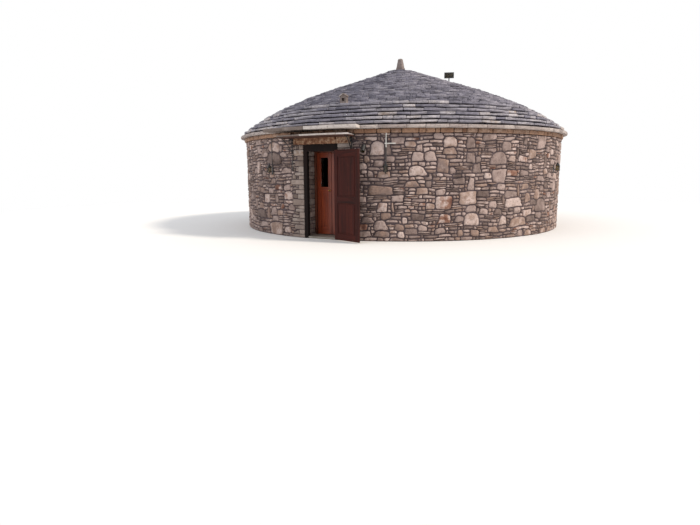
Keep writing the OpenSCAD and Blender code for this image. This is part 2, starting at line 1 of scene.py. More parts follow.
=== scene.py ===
from functools import partial
from itertools import product
from math import asin, cos, pi, radians, sin, sqrt

import bmesh
import bpy
import numpy as np
from mathutils import Euler, Matrix, Vector


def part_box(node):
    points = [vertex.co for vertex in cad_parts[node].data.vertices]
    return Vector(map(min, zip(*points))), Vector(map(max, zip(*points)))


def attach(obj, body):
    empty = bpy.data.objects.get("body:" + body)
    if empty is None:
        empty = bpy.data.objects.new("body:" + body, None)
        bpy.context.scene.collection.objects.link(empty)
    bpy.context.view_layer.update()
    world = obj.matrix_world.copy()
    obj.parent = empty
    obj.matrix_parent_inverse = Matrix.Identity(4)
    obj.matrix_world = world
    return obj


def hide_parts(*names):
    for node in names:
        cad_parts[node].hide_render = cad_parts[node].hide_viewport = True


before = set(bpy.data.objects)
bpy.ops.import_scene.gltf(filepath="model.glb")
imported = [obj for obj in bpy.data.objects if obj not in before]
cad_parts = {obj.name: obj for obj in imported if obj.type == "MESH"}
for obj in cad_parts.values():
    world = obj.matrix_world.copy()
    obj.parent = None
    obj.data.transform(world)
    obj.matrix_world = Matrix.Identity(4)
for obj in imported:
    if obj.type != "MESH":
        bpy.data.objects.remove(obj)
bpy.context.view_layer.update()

# The view: the house stands on a pale studio floor and is seen from the forecourt, at eye
# height and to the right of the doorway, so it fills the upper part of a wide frame.
EYE = Vector((6.85, -15.58, 1.645))
TURN_TO_LEFT = radians(29.09)
TIP_DOWN = radians(9.89)
ROLL = radians(-0.38)
FOCAL_LENGTH = 27.05


def new_object(name, data):
    """Makes an object and puts it in the scene."""
    made = bpy.data.objects.new(name, data)
    bpy.context.scene.collection.objects.link(made)
    return made


camera = new_object("camera", bpy.data.cameras.new("camera"))
camera.data.sensor_width = 36.0
camera.data.lens = FOCAL_LENGTH
camera.data.clip_end = 500.0
look = Euler((pi / 2 - TIP_DOWN, 0.0, TURN_TO_LEFT)).to_matrix() @ Matrix.Rotation(ROLL, 3, "Z")
camera.location = EYE
camera.rotation_euler = look.to_euler()
bpy.context.scene.camera = camera
bpy.context.scene.view_settings.view_transform = "Standard"


def colour(code):
    """Turns an sRGB hex value to linear light."""
    parts = [int(code[i:i + 2], 16) / 255 for i in (1, 3, 5)]
    return tuple(c / 12.92 if c <= 0.04045 else ((c + 0.055) / 1.055) ** 2.4 for c in parts) + (1.0,)


def feed(node, inputs=(), **named):
    """Gives the inputs of a node, by number or by Name, a value or the output of another node."""
    for key, value in (dict(inputs) | named).items():
        socket = node.inputs[key.replace("_", " ") if isinstance(key, str) else key]
        value = value.outputs[0] if isinstance(value, bpy.types.Node) else value
        if isinstance(value, bpy.types.NodeSocket):
            node.id_data.links.new(value, socket)
        else:
            socket.default_value = value


def add(tree, kind, *placed, stops="", **named):
    """Adds a node; its inputs come by place, by number or by Name, its settings in small letters."""
    kind, _, operation = kind.partition(".")
    made = tree.nodes.new(next(start + kind for start in (tree.bl_idname[:-4], "ShaderNode", "FunctionNode",
        "Node") if hasattr(bpy.types, start + kind)))
    if operation:
        made.operation = operation
    for key in [key for key in named if key[0].islower()]:
        setattr(made, key, named.pop(key))
    for number, value in enumerate(placed):
        feed(made, value if isinstance(value, dict) else {number: value})
    feed(made, **named)
    for number, stop in enumerate(filter(None, stops.split(", "))):
        place, code = stop.split()
        elements = made.color_ramp.elements
        element = elements[number] if number < len(elements) else elements.new(1.0)
        element.position, element.color = float(place), colour(code)
    return made


def opened(owner):
    """Gives the way to add nodes to a material or a world, and the nodes that it has."""
    owner.use_nodes = True
    return partial(add, owner.node_tree), owner.node_tree.nodes


def new_material(name, **sockets):
    """Starts a material with one shader; the constants go straight on its sockets."""
    material = bpy.data.materials.new(name)
    put, nodes = opened(material)
    nodes.clear()
    shader = put("BsdfPrincipled", **sockets)
    put("OutputMaterial", Surface=shader)
    return material, put, shader


# An even, pale sky lights the house; where the camera, a gloss or a pane shows it, it is white.
world = bpy.data.worlds.new("studio")
put, nodes = opened(world)
nodes.clear()
ray = put("LightPath")
seen = put("Math.MAXIMUM", ray.outputs["Is Camera Ray"], ray.outputs["Is Glossy Ray"])
seen = put("Math.MAXIMUM", seen, ray.outputs["Is Transmission Ray"])
sky = put("Background", Color=colour("#f1f3f8"), Strength=0.82)
white = put("Background", Color=(1, 1, 1, 1), Strength=1.0)
put("OutputWorld", Surface=put("MixShader", seen, sky, white))
bpy.context.scene.world = world

# The main light stands to the right, 38 degrees high, and a weak, wide one fills the front left.
for name, strength, spread, turn, rise in (("main light", 2.6, 9.0, 98.0, 38.0),
        ("fill light", 0.5, 60.0, -35.0, 30.0)):
    lamp = bpy.data.lights.new(name, "SUN")
    lamp.energy = strength
    lamp.angle = radians(spread)
    lamp.color = colour("#fff4e6")[:3] if name == "main light" else (1, 1, 1)
    new_object(name, lamp).rotation_euler = (radians(90 - rise), 0, radians(turn))

# The floor is matt and pale, and fades out between 9 and 17 m from the middle of the house.
floor_paint, put, shader = new_material("pale studio floor", Roughness=0.9, Base_Color=colour("#efeeec"))
place = put("TexCoord")
reach = put("VectorMath.LENGTH", place.outputs["Object"])
fade = put("MapRange", reach.outputs["Value"], From_Min=9.0, From_Max=17.0)
clear = put("BsdfTransparent")
feed(floor_paint.node_tree.nodes["Material Output"], Surface=put("MixShader", fade, shader, clear))
bpy.ops.mesh.primitive_circle_add(vertices=96, radius=20.0, fill_type="NGON", location=(0, 0, -0.002))
studio_floor = bpy.context.object
studio_floor.name = "studio_floor"
studio_floor.data.materials.append(floor_paint)

# The round wall: limestone rubble from the fields, laid in lime mortar that is raked back from
# the face. Big boulders, squared blocks and stacks of thin slabs are fitted into each other.
# Inside, the wall is rendered smooth and limewashed.
WALLS = ["wall_front_right", "wall_right", "wall_back_right", "wall_rear_right", "wall_rear_left",
    "wall_back_left", "wall_left", "wall_front_left"]
WALL_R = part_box("wall_right")[1].x
WALL_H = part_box("wall_right")[1].z
ROOM_R = -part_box("threshold_stone")[1].y
LINTEL_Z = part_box("door_pier_right")[1].z
OPENING_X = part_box("door_pier_right")[0].x
PIER_ANGLE = asin(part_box("stone_lintel")[1].x / WALL_R)
MORTAR_BACK = 0.028
JOINT = 0.0155
RASTER = 0.01
STONE_BACK = -0.05


def around(angle, r, z):
    """Points at angles round the house from the doorway, positive towards +X."""
    return np.stack([r * np.sin(angle), -r * np.cos(angle), z + 0 * angle], -1)


def outward(verts, faces):
    """Turns the faces of a closed shape outwards, by the sign of its volume."""
    volume = sum(np.dot(verts[face[0]], np.cross(verts[face[k]], verts[face[k + 1]]))
        for face in faces for k in range(1, len(face) - 1))
    return [face if volume > 0 else face[::-1] for face in faces]


def write(mesh, name, kind, domain, values):
    """Writes a value for each point or corner of a mesh, such as the tone of its stone."""
    layer = mesh.attributes.get(name) or mesh.attributes.new(name, kind, domain)
    layer.data.foreach_set("value" if kind == "FLOAT" else "vector", np.ravel(values))


def make_piece(name, shapes, materials, replaces):
    """Makes one piece of shapes that are (points, faces, material number, tone)."""
    points, faces, slots, tones = [], [], [], []
    for verts, shape_faces, number, tone in shapes:
        faces += [[v + len(points) for v in face] for face in shape_faces]
        points += verts.tolist()
        slots += [number] * len(shape_faces) if np.isscalar(number) else number
        tones += [tone] * len(verts)
    mesh = bpy.data.meshes.new(name)
    mesh.from_pydata(points, [], faces)
    mesh.polygons.foreach_set("material_index", slots)
    mesh.polygons.foreach_set("use_smooth", [True] * len(faces))
    write(mesh, "tone", "FLOAT", "POINT", tones)
    for material in materials:
        mesh.materials.append(material)
    mesh.update()
    mesh.set_sharp_from_angle(angle=radians(75))
    return hand_in(new_object(name, mesh), "house", replaces)


def hand_in(piece, body, replaces):
    """Hangs a piece on the body that it rides and hides the nodes that it stands for."""
    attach(piece, body)
    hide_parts(*replaces)
    return piece


def curved_block(a0, a1, r0, r1, z0, z1, steps):
    """Closed block between two angles, two radii and two heights."""
    angle = np.repeat(np.linspace(a0, a1, steps + 1), 4)
    verts = around(angle, np.tile([r0, r1, r1, r0], steps + 1), np.tile([z0, z0, z1, z1], steps + 1))
    faces = [[i + k, i + (k + 1) % 4, i + 4 + (k + 1) % 4, i + 4 + k] for i in range(0, 4 * steps, 4)
        for k in range(4)]
    faces += [[3, 2, 1, 0], [4 * steps, 4 * steps + 1, 4 * steps + 2, 4 * steps + 3]]
    return verts, outward(verts, faces)


def every(size_mm):
    """Scale of a pattern that comes again about every so many millimetres."""
    return 1000.0 / size_mm


def stone_material(name, stops, stain, patch_mm, bump_height, roughness=0.9, bedding=0.0, mottle=0.42):
    """Stone with a tone for each block, stained patches, a grained face and its bedding lines.

    The grain of limestone is finer than a pixel here, so it is drawn as pits 11 mm apart; the
    bedding lines of a split slab are drawn 21 mm apart for the same reason.
    """
    material, put, shader = new_material(name, Roughness=roughness, IOR=1.5)
    place = put("TexCoord").outputs["Object"]
    tone = put("Attribute", attribute_name="tone").outputs["Fac"]
    clouds = put("TexNoise", place, Scale=0.6 * every(patch_mm), Detail=5.0)
    toned = put("Math.MULTIPLY_ADD", tone, 0.84, 0.08 - 0.5 * mottle)
    mixed = put("Math.MULTIPLY_ADD", clouds, mottle, toned, use_clamp=True)
    base = put("ValToRGB", mixed, stops=stops)
    spots = put("TexNoise", place, Scale=1.7 * every(patch_mm), Detail=8.0, Roughness=0.65)
    where = put("MapRange", spots, From_Min=0.52, From_Max=0.68, To_Max=0.4 + 0.5 * mottle)
    stained = put("Mix", {0: where, 6: base, 7: colour(stain)}, data_type="RGBA")
    grain = put("TexNoise", place, Scale=every(11), Detail=6.0, Roughness=0.7)
    light = put("MapRange", grain, From_Min=0.3, From_Max=0.7, To_Min=0.78, To_Max=1.16)
    relief = put("TexNoise", place, Scale=every(45), Detail=9.0, Roughness=0.62)
    if bedding:
        thin = put("Mapping", place, Scale=(every(285), every(285), every(21)))
        beds = put("TexNoise", thin, Scale=1.0, Detail=5.0, Distortion=0.4)
        banded = put("MapRange", beds, From_Min=0.34, From_Max=0.66, To_Min=1.0 - bedding,
            To_Max=1.0 + bedding)
        light = put("Math.MULTIPLY", light, banded)
        relief = put("Math.MULTIPLY_ADD", beds, 2.0 * bedding, relief)
    shaded = put("VectorMath.SCALE", stained.outputs[2], Scale=light)
    feed(shader, Base_Color=shaded)
    feed(shader, Normal=put("Bump", Height=relief, Strength=0.8, Distance=bump_height))
    return material


# Field limestone, broken by hammer and left rough: chalky and matt, grey to pale buff, with
# brown iron stains and dark lichen patches about 120 mm across.
rubble = stone_material("field limestone", "0 #544540, 0.14 #7d6b64, 0.3 #99857e, 0.45 #b29d95, "
    "0.58 #806d66, 0.7 #9a8072, 0.86 #c8b4ac, 0.94 #8a6452, 1 #603d32", "#604a42", 120, 0.02, mottle=0.6)

# Lime and earth mortar, raked back with a stick: matt, brown-grey and gritty, darker than the
# stones. Its 2 mm grit is too fine to show, so it is drawn at 6 mm; damp patches run 400 mm.
mortar, put, shader = new_material("raked lime mortar", Roughness=0.95)
place = put("TexCoord").outputs["Object"]
sand = put("TexNoise", place, Scale=every(6), Detail=4.0)
patches = put("TexNoise", place, Scale=every(400), Detail=5.0)
half = put("Math.MULTIPLY", put("Math.ADD", sand, patches), 0.5)
feed(shader, Base_Color=put("ValToRGB", half, stops="0.35 #43383a, 0.5 #54484a, 0.65 #65585a"))
feed(shader, Normal=put("Bump", Height=sand, Strength=0.7, Distance=0.006))

# Limewash brushed in thin coats over a smooth render: chalky, off-white and dull, with faint
# clouds about 330 mm across where a coat is thicker.
limewash, put, shader = new_material("limewash", Roughness=0.85)
place = put("TexCoord").outputs["Object"]
clouds = put("TexNoise", place, Scale=every(330), Detail=6.0)
feed(shader, Base_Color=put("ValToRGB", clouds, stops="0.3 #d9d4c8, 0.7 #e8e4da"))
feed(shader, Normal=put("Bump", Height=clouds, Strength=0.3, Distance=0.01))

# Squared quoins that the door piers are built of, course by course: where one runs far along
# the face, the next runs deep into the reveal. Each is (low z, high z, width, depth).
rng = np.random.default_rng(11)
quoins = {}
for side in (-1, 1):
    heights = rng.uniform(0.07, 0.16, 20)
    beds = np.concatenate([[0], np.cumsum(heights) / heights.sum()]) * LINTEL_Z
    quoins[side] = []
    for i in range(len(heights)):
        wide = (i + (side > 0)) % 2 == 0
        width = rng.uniform(0.27, 0.44) if wide else rng.uniform(0.14, 0.21)
        depth = rng.uniform(0.12, 0.18) if wide else rng.uniform(0.26, 0.4)
        quoins[side].append((beds[i], beds[i + 1], width, depth))

# The strip of wall face is laid out flat, from one side of the doorway round to the other.
strip_0 = WALL_R * asin(OPENING_X / WALL_R)
strip_1 = 2 * pi * WALL_R - strip_0
cols, rows = 360, 30
cell_w, cell_h = (strip_1 - strip_0) / cols, WALL_H / rows
taken = np.zeros((rows, cols), bool)
owner = np.full((round(WALL_H / RASTER), round((strip_1 - strip_0) / RASTER)), -1)
nearest = np.full(owner.shape, 9.0)


def reserve(u0, u1, z0, z1):
    """Keeps a patch of the strip for dressed stones."""
    for grid, value, wide, high in ((nearest, -9.0, RASTER, RASTER), (owner, -2, RASTER, RASTER),
            (taken, True, cell_w, cell_h)):
        i0, i1 = (max(0, round((u - strip_0) / wide)) for u in (u0, u1))
        grid[round(z0 / high):round(z1 / high), i0:i1] = value


pier_u = WALL_R * PIER_ANGLE
round_u = 2 * pi * WALL_R
for side, stones in quoins.items():
    for z0, z1, width, _ in stones:
        u0 = strip_0 if side > 0 else strip_1 - width
        reserve(u0, u0 + width, z0, z1)
reserve(strip_0, pier_u, LINTEL_Z, WALL_H)
reserve(round_u - pier_u, strip_1, LINTEL_Z, WALL_H)

# How the sides of a stone are broken: direction, spread, and least and most reach of each side.
# Nearly all lie on a flat bed; the rough ones rise to a gable, a leaning wedge or a slanted top.
BED = (-90, 4, 0.95, 1.02)
GABLE = (BED, (172, 9, 0.86, 1.0), (8, 9, 0.86, 1.0), (130, 12, 0.6, 0.85), (52, 12, 0.6, 0.85))
WEDGE = (BED, (152, 8, 0.75, 0.92), (4, 8, 0.9, 1.0), (84, 10, 0.9, 1.0), (38, 10, 0.75, 0.95))
SLANT = (BED, (178, 8, 0.9, 1.0), (12, 12, 0.86, 1.0), (108, 9, 0.72, 0.92))
BLOCK = ((-90, 3, 0.95, 1.02), (180, 7, 0.92, 1.02), (0, 7, 0.92, 1.02), (90, 4, 0.95, 1.02))
ROUGH = (GABLE, WEDGE, SLANT, BLOCK)
# Sizes in cells: attempts, widths, heights, and the ways in which the sides are broken.
STONE_SIZES = [(130, (4, 8), (3, 4), ROUGH), (50, (1, 2), (3, 4), (SLANT, BLOCK)),
    (240, (3, 4), (2, 3), ROUGH), (560, (3, 5), (2, 2), (WEDGE, SLANT, BLOCK)),
    (420, (2, 3), (2, 2), ROUGH)]
TWO_SLABS = 0.22
SHARPNESS = 14
MOST_LEAN = 0.05
rng = np.random.default_rng(7)
rubble_stones = []
for tries, (w0, w1), (h0, h1), sides in STONE_SIZES:
    for _ in range(tries):
        w, h = rng.integers(w0, w1 + 1), rng.integers(h0, h1 + 1)
        c, r = rng.integers(0, cols - w + 1), rng.integers(0, rows - h + 1)
        if not taken[r:r + h, c:c + w].any():
            taken[r:r + h, c:c + w] = True
            kind = sides[rng.integers(0, len(sides))]
            rubble_stones.append((c + w / 2, r + h / 2, w / 2, h / 2, kind, rng.random() < 0.5))
for r in range(rows):
    for c in range(cols):
        if taken[r, c]:
            continue
        # What is left is filled with low stones, or now and then with two thin slabs.
        w, limit = 1, rng.integers(1, 5)
        while w < limit and c + w < cols and not taken[r, c + w]:
            w += 1
        taken[r, c:c + w] = True
        if w > 1 and rng.random() < TWO_SLABS:
            rubble_stones += [(c + w / 2, r + up, w / 2, 0.25, BLOCK, False) for up in (0.25, 0.75)]
        else:
            kind = SLANT if rng.random() < 0.3 else BLOCK
            rubble_stones.append((c + w / 2, r + 0.5, w / 2, 0.5, kind, rng.random() < 0.5))

# Each stone grows from its middle, as far as its sides let it, and keeps the cells of the raster
# that it reaches before its neighbours do. The waves bend the joints.
grown = []
for number, (cu, cz, hw, hh, sides, turned) in enumerate(rubble_stones):
    cu, cz = strip_0 + cu * cell_w, cz * cell_h
    hw, hh = hw * cell_w, hh * cell_h
    lean = rng.uniform(-MOST_LEAN, MOST_LEAN) * min(1.0, 1.5 * hh / hw)
    grown.append((cu, cz, hw, hh, lean))
    reach_u, reach_z = hw * 1.35 + 0.05, hh * 1.5 + 0.05
    i0 = max(int((cu - reach_u - strip_0) / RASTER), 0)
    i1 = min(int((cu + reach_u - strip_0) / RASTER), owner.shape[1])
    k0 = max(int((cz - reach_z) / RASTER), 0)
    k1 = min(int((cz + reach_z) / RASTER), owner.shape[0])
    u = strip_0 + (np.arange(i0, i1) + 0.5) * RASTER
    z = ((np.arange(k0, k1) + 0.5) * RASTER)[:, None]
    wave_u = 0.014 * np.sin(7.1 * u + 5.3 * z + 1.0) + 0.008 * np.sin(19.0 * z - 8.0 * u)
    wave_z = 0.016 * np.sin(3.3 * u - 2.1 * z) + 0.008 * np.sin(11.0 * u + 5.0 * z + 2.0)
    du, dz = u - cu + wave_u, z - cz + wave_z
    x = du * cos(lean) + dz * sin(lean)
    y = dz * cos(lean) - du * sin(lean)
    far = np.sqrt(x * x + y * y) + 1e-6
    size = np.zeros(x.shape)
    for direction, spread, least, most in sides:
        facing = radians(direction + rng.uniform(-spread, spread))
        across = -cos(facing) if turned else cos(facing)
        side_out = (x / hw * across + y / hh * sin(facing)) / rng.uniform(least, most)
        size += np.maximum(side_out, 0) ** SHARPNESS
    size = np.maximum(size, 1e-9) ** (1 / SHARPNESS)
    gap = far * (1 - 1 / np.maximum(size, 1e-3))
    window = nearest[k0:k1, i0:i1]
    closer = gap < window
    window[closer] = gap[closer]
    owner[k0:k1, i0:i1][closer] = number


def stone_shapes(numbers, points, rings_in):
    """Closed stones between the joints, each with a back, sides, a worn arris and a face."""
    cu, cz, hw, hh, lean = np.array([grown[n] for n in numbers]).T[:, :, None]
    middle, t = cu + 1j * cz, np.arange(points) * 2 * pi / points
    ray = (hw * np.cos(t) + 1j * hh * np.sin(t)) * np.exp(1j * lean)
    reached = np.full(ray.shape, 0.2)
    going = np.ones(ray.shape, bool)
    framed = np.pad(owner, 1, constant_values=-1)
    for step in np.arange(0.2, 2.2, 0.03):  # out from the middle, as far as the stone reaches
        spot = (middle - strip_0 + step * ray) / RASTER + 1 + 1j
        i = np.floor(spot.real).astype(int).clip(0, framed.shape[1] - 1)
        k = np.floor(spot.imag).astype(int).clip(0, framed.shape[0] - 1)
        going &= framed[k, i] == np.array(numbers)[:, None]
        reached[going] = step
    reached = 0.84 * reached + 0.08 * (np.roll(reached, 1, 1) + np.roll(reached, -1, 1))
    edge = middle + reached * ray
    along = np.roll(edge, -1, 1) - np.roll(edge, 1, 1)
    outside = -1j * along / (abs(along) + 1e-6)
    half_small = np.minimum(hw, hh)
    rng = np.random.default_rng(23)
    proud = rng.normal(0, 0.0055, (len(numbers), 1)).clip(-0.009, 0.008)
    tip_u, tip_z = rng.normal(0, 0.03, (2, len(numbers), 1)).clip(-0.06, 0.06)
    joint = np.minimum(JOINT, 0.34 * half_small)
    layers = []
    for inset, depth, shake in ((joint, STONE_BACK, 0.0), (joint, -0.013, 0.0018),
            (joint + np.minimum(0.008, 0.2 * half_small), -0.003, 0.002)):
        spot = edge - inset * outside
        layers.append([start + rng.normal(0, shake * share, edge.shape) for start, share in
            ((spot.real, 1.0), (spot.imag, 1.0), (depth, 0.8))])
    for share in rings_in:
        layers.append((cu + (layers[2][0] - cu) * share, cz + (layers[2][1] - cz) * share,
            0.002 + 0.002 * (1 - share) + rng.normal(0, 0.0022, edge.shape)))
    rings = [*layers, (cu, cz, rng.normal(0.004, 0.002, cu.shape)), (cu, cz, STONE_BACK + 0 * cu)]
    rings = [np.stack(np.broadcast_arrays(*ring), -1) for ring in rings]
    u, z, out = np.moveaxis(np.concatenate(rings, 1), -1, 0)
    out += np.where(out > 0.9 * STONE_BACK, proud + tip_u * (u - cu) + tip_z * (z - cz), 0)
    verts = around(u / WALL_R, WALL_R + np.minimum(out, 0.012), z.clip(0.0, WALL_H - 0.002))
    top, faces = len(layers) * points, []
    for k in range(points):
        n = (k + 1) % points
        for ring in range(0, top - points, points):
            faces.append([ring + k, ring + n, ring + points + n, ring + points + k])
        faces += [[top - points + k, top - points + n, top], [n, k, top + 1]]
    tone = rng.random(len(numbers))
    return [(verts[i], faces, 0, tone[i], cu[i, 0] / WALL_R) for i in range(len(numbers))]


BIG = 0.012  # square metres, for a quarter of a stone
big = [n for n, (_, _, hw, hh, _) in enumerate(grown) if hw * hh > BIG]
small = sorted(set(range(len(grown))) - set(big))
all_stones = stone_shapes(big, 28, (0.7, 0.38)) + stone_shapes(small, 14, (0.55,))

segment = (2 * pi - 2 * PIER_ANGLE) / len(WALLS)
stones_of = {name: [] for name in WALLS + ["door_pier_right", "door_pier_left"]}
for *stone, angle in all_stones:
    name = WALLS[min(max(int((angle - PIER_ANGLE) / segment), 0), len(WALLS) - 1)]
    if not PIER_ANGLE <= angle <= 2 * pi - PIER_ANGLE:
        name = "door_pier_right" if angle < PIER_ANGLE else "door_pier_left"
    stones_of[name].append(stone)

for i, name in enumerate(WALLS):
    a0 = PIER_ANGLE + i * segment
    verts, faces = curved_block(a0, a0 + segment, ROOM_R, WALL_R - MORTAR_BACK, 0.0, WALL_H, 40)
    inner = [2 if max(np.hypot(*verts[face].T[:2])) < ROOM_R + 0.001 else 1 for face in faces]
    make_piece(name + "_rubble", stones_of[name] + [(verts, faces, inner, 0.5)], [rubble, mortar, limewash],
        [name])

# The door piers: squared limestone quoins, bigger and truer than the rubble, which bond the
# ends of the wall and turn the corner into the reveal of the doorway.

# The quoins are limestone dressed with a point: flatter than the rubble, matt, with a stain
# about every 100 mm where the hands and the rain reach.
quoin_stone = stone_material("dressed limestone", "0 #6a5b53, 0.25 #86766d, 0.5 #9f8f86, 0.7 #82736b, "
    "0.88 #afa299, 1 #86664f", "#6a574d", 100, 0.012, mottle=0.5)
FRONT_R = WALL_R + 0.006
BLOCK_JOINT = 0.011
CORNER, SHALLOW, LAST_RUN = 0.12, 0.03, 0.12


def box_shell(counts):
    """Corners and faces of a closed box whose sides are divided by so many lines along x, y, z."""
    index, faces = {}, []
    for axis in range(3):
        a, b = (axis + 1) % 3, (axis + 2) % 3
        for end, i, j in product((0, counts[axis] - 1), range(counts[a] - 1), range(counts[b] - 1)):
            face = []
            for di, dj in ((0, 0), (1, 0), (1, 1), (0, 1)):
                at = [0, 0, 0]
                at[axis], at[a], at[b] = end, i + di, j + dj
                face.append(index.setdefault(tuple(at), len(index)))
            faces.append(face if end else face[::-1])
    return np.array(list(index)), faces


def rough_block(corners, counts, radius, rough, rng):
    """Closed block with worn edges inside eight corners, given low to high along x, y and z."""
    corners = np.asarray(corners, float).reshape(2, 2, 2, 3)
    size = np.linalg.norm([corners[end] - corners[0, 0, 0] for end in ((1, 0, 0), (0, 1, 0), (0, 0, 1))],
        axis=1)
    radius = min(radius, 0.3 * size.min())
    lines = [np.concatenate([[0], np.linspace(radius, extent - radius, count), [extent]])
        for extent, count in zip(size, counts)]
    index, faces = box_shell([len(line) for line in lines])
    real = np.stack([line[index[:, k]] for k, line in enumerate(lines)], -1)
    inner = np.clip(real, radius, size - radius)
    away = real - inner
    far = np.linalg.norm(away, axis=1, keepdims=True)
    real = np.where(far > 1e-9, inner + away / np.maximum(far, 1e-9) * radius, real)
    real += rng.normal(0, rough, real.shape) if rough else 0
    x, y, z = (real / size).T[:, :, None]
    points = sum((corners[i, j, k] * (x if i else 1 - x) * (y if j else 1 - y) * (z if k else 1 - z)
        for i in (0, 1) for j in (0, 1) for k in (0, 1)))
    return points, outward(points, faces)


rng = np.random.default_rng(31)
for side, name in ((-1, "door_pier_left"), (1, "door_pier_right")):
    shapes = list(stones_of[name])
    for z0, z1, width, depth in quoins[side]:
        z0, z1 = z0 + BLOCK_JOINT / 2, z1 - BLOCK_JOINT / 2
        x0, x1 = OPENING_X + rng.uniform(0, 0.004), OPENING_X + width - BLOCK_JOINT
        blocks = [(x0, x1, 0.0, depth)]
        y = depth + BLOCK_JOINT
        while y < FRONT_R - ROOM_R - LAST_RUN:
            run = min(rng.uniform(0.16, 0.34), FRONT_R - ROOM_R - SHALLOW - y)
            blocks.append((x0 + rng.uniform(0, 0.003), x0 + CORNER, y, y + run))
            y += run + BLOCK_JOINT
        for bx0, bx1, by0, by1 in blocks:
            out = rng.uniform(-0.003, 0.006) if by0 == 0 else 0.0
            corners = []
            for bx, by, bz in product((bx0, bx1), (by0, by1), (z0, z1)):
                front = -sqrt((FRONT_R + out) ** 2 - (bx if by0 == 0 else x0) ** 2)
                shift = rng.normal(0, 0.002, 3)
                corners.append((side * bx, front + by + shift[1], bz + shift[2]))
            shapes.append((*rough_block(corners, (4, 3, 3), 0.012, 0.0012, rng), 0, rng.random()))
    inset = OPENING_X + 0.014
    outer = np.linspace(asin(inset / (WALL_R - MORTAR_BACK)), PIER_ANGLE, 6)
    inner = np.linspace(PIER_ANGLE, asin(inset / ROOM_R), 6)
    plan = np.concatenate([around(outer, WALL_R - MORTAR_BACK, 0.0), around(inner, ROOM_R, 0.0)])
    plan[:, 0] *= side
    count = len(plan)
    verts = np.concatenate([plan, plan + (0, 0, LINTEL_Z)])
    faces = [list(range(count))[::-1], list(range(count, 2 * count))]
    faces += [[k, (k + 1) % count, count + (k + 1) % count, count + k] for k in range(count)]
    finish = [1, 1] + [2 if len(outer) <= k < count - 1 else 1 for k in range(count)]
    shapes.append((verts, outward(verts, faces), finish, 0.5))
    make_piece(name + "_quoins", shapes, [quoin_stone, mortar, limewash], [name])

# Over the doorway: two long, rust-brown lintel stones on the face, and three old oak beams
# behind them that carry the wall above.

# Limestone with iron in it, rough split: rust-brown and buff clouds about 50 mm across.
lintel_stone = stone_material("iron-stained limestone", "0 #3d2318, 0.3 #6b432d, 0.46 #936a4e, "
    "0.6 #c0a085, 0.76 #7d543b, 1 #55321f", "#402619", 50, 0.03, mottle=1.0)
lintel_low, lintel_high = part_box("stone_lintel")
LINTEL_BACK = -lintel_high.y
LINTEL_JOINT_X = 0.44
rng = np.random.default_rng(5)
shapes = []
for x0, x1 in ((lintel_low.x, LINTEL_JOINT_X - 0.004), (LINTEL_JOINT_X + 0.004, lintel_high.x)):
    steps = max(1, round((x1 - x0) / 0.3))
    corners = [(x, y, z) for x in (x0, x1) for y in (-sqrt(FRONT_R ** 2 - x * x), -LINTEL_BACK)
        for z in (lintel_low.z, lintel_high.z)]
    verts, faces = rough_block(corners, (4 * steps + 2, 4, 6), 0.014, 0.0035, rng)
    straight = np.interp(verts[:, 0], [x0, x1], [corners[0][1], corners[4][1]])
    bow = np.sqrt((FRONT_R - 0.002) ** 2 - verts[:, 0] ** 2) + straight
    verts[:, 1] -= bow * ((verts[:, 1] + LINTEL_BACK) / (straight + LINTEL_BACK)).clip(0, 1)
    shapes.append((verts, faces, 0, rng.uniform(0.35, 0.65)))
make_piece("lintel_stones", shapes, [lintel_stone], ["stone_lintel"])


def wood_material(name, stops, roughness, coat=0.0, bump_height=0.0008, wear=None):
    """Wood whose grain runs along each board, with a tone of its own for each board.

    Grain lines a millimetre apart would be lost from the forecourt, so they are drawn 14 mm
    apart and 400 mm long, over broader figure 110 mm wide.
    """
    material, put, shader = new_material(name, Roughness=roughness, IOR=1.5 if coat else 1.35,
        Coat_Weight=coat, Coat_Roughness=0.3)
    along = put("Attribute", attribute_name="grain").outputs["Vector"]
    tone = put("Attribute", attribute_name="tone").outputs["Fac"]
    fine = put("Mapping", along, Scale=(every(400), every(14), every(14)))
    fine = put("TexNoise", fine, Scale=1.0, Detail=6.0, Roughness=0.6)
    broad = put("Mapping", along, Scale=(every(1250), every(110), every(110)))
    broad = put("TexNoise", broad, Scale=1.0, Detail=4.0, Distortion=0.6)
    both = put("Math.ADD", fine, broad)
    toned = put("Math.MULTIPLY_ADD", tone, 0.3, -0.65)
    both = put("Math.ADD", both, toned, use_clamp=True)
    ramp = put("ValToRGB", both, stops=stops)
    feed(shader, Base_Color=ramp)
    if wear:
        place = put("TexCoord").outputs["Object"]
        patch = put("TexNoise", place, Scale=every(165), Detail=8.0, Roughness=0.7)
        where = put("MapRange", patch, From_Min=0.56, From_Max=0.7, To_Max=0.7)
        mixed = put("Mix", {0: where, 6: ramp, 7: colour(wear)}, data_type="RGBA")
        feed(shader, Base_Color=mixed.outputs[2])
    feed(shader, Normal=put("Bump", Height=fine, Strength=0.6, Distance=bump_height))
    return material


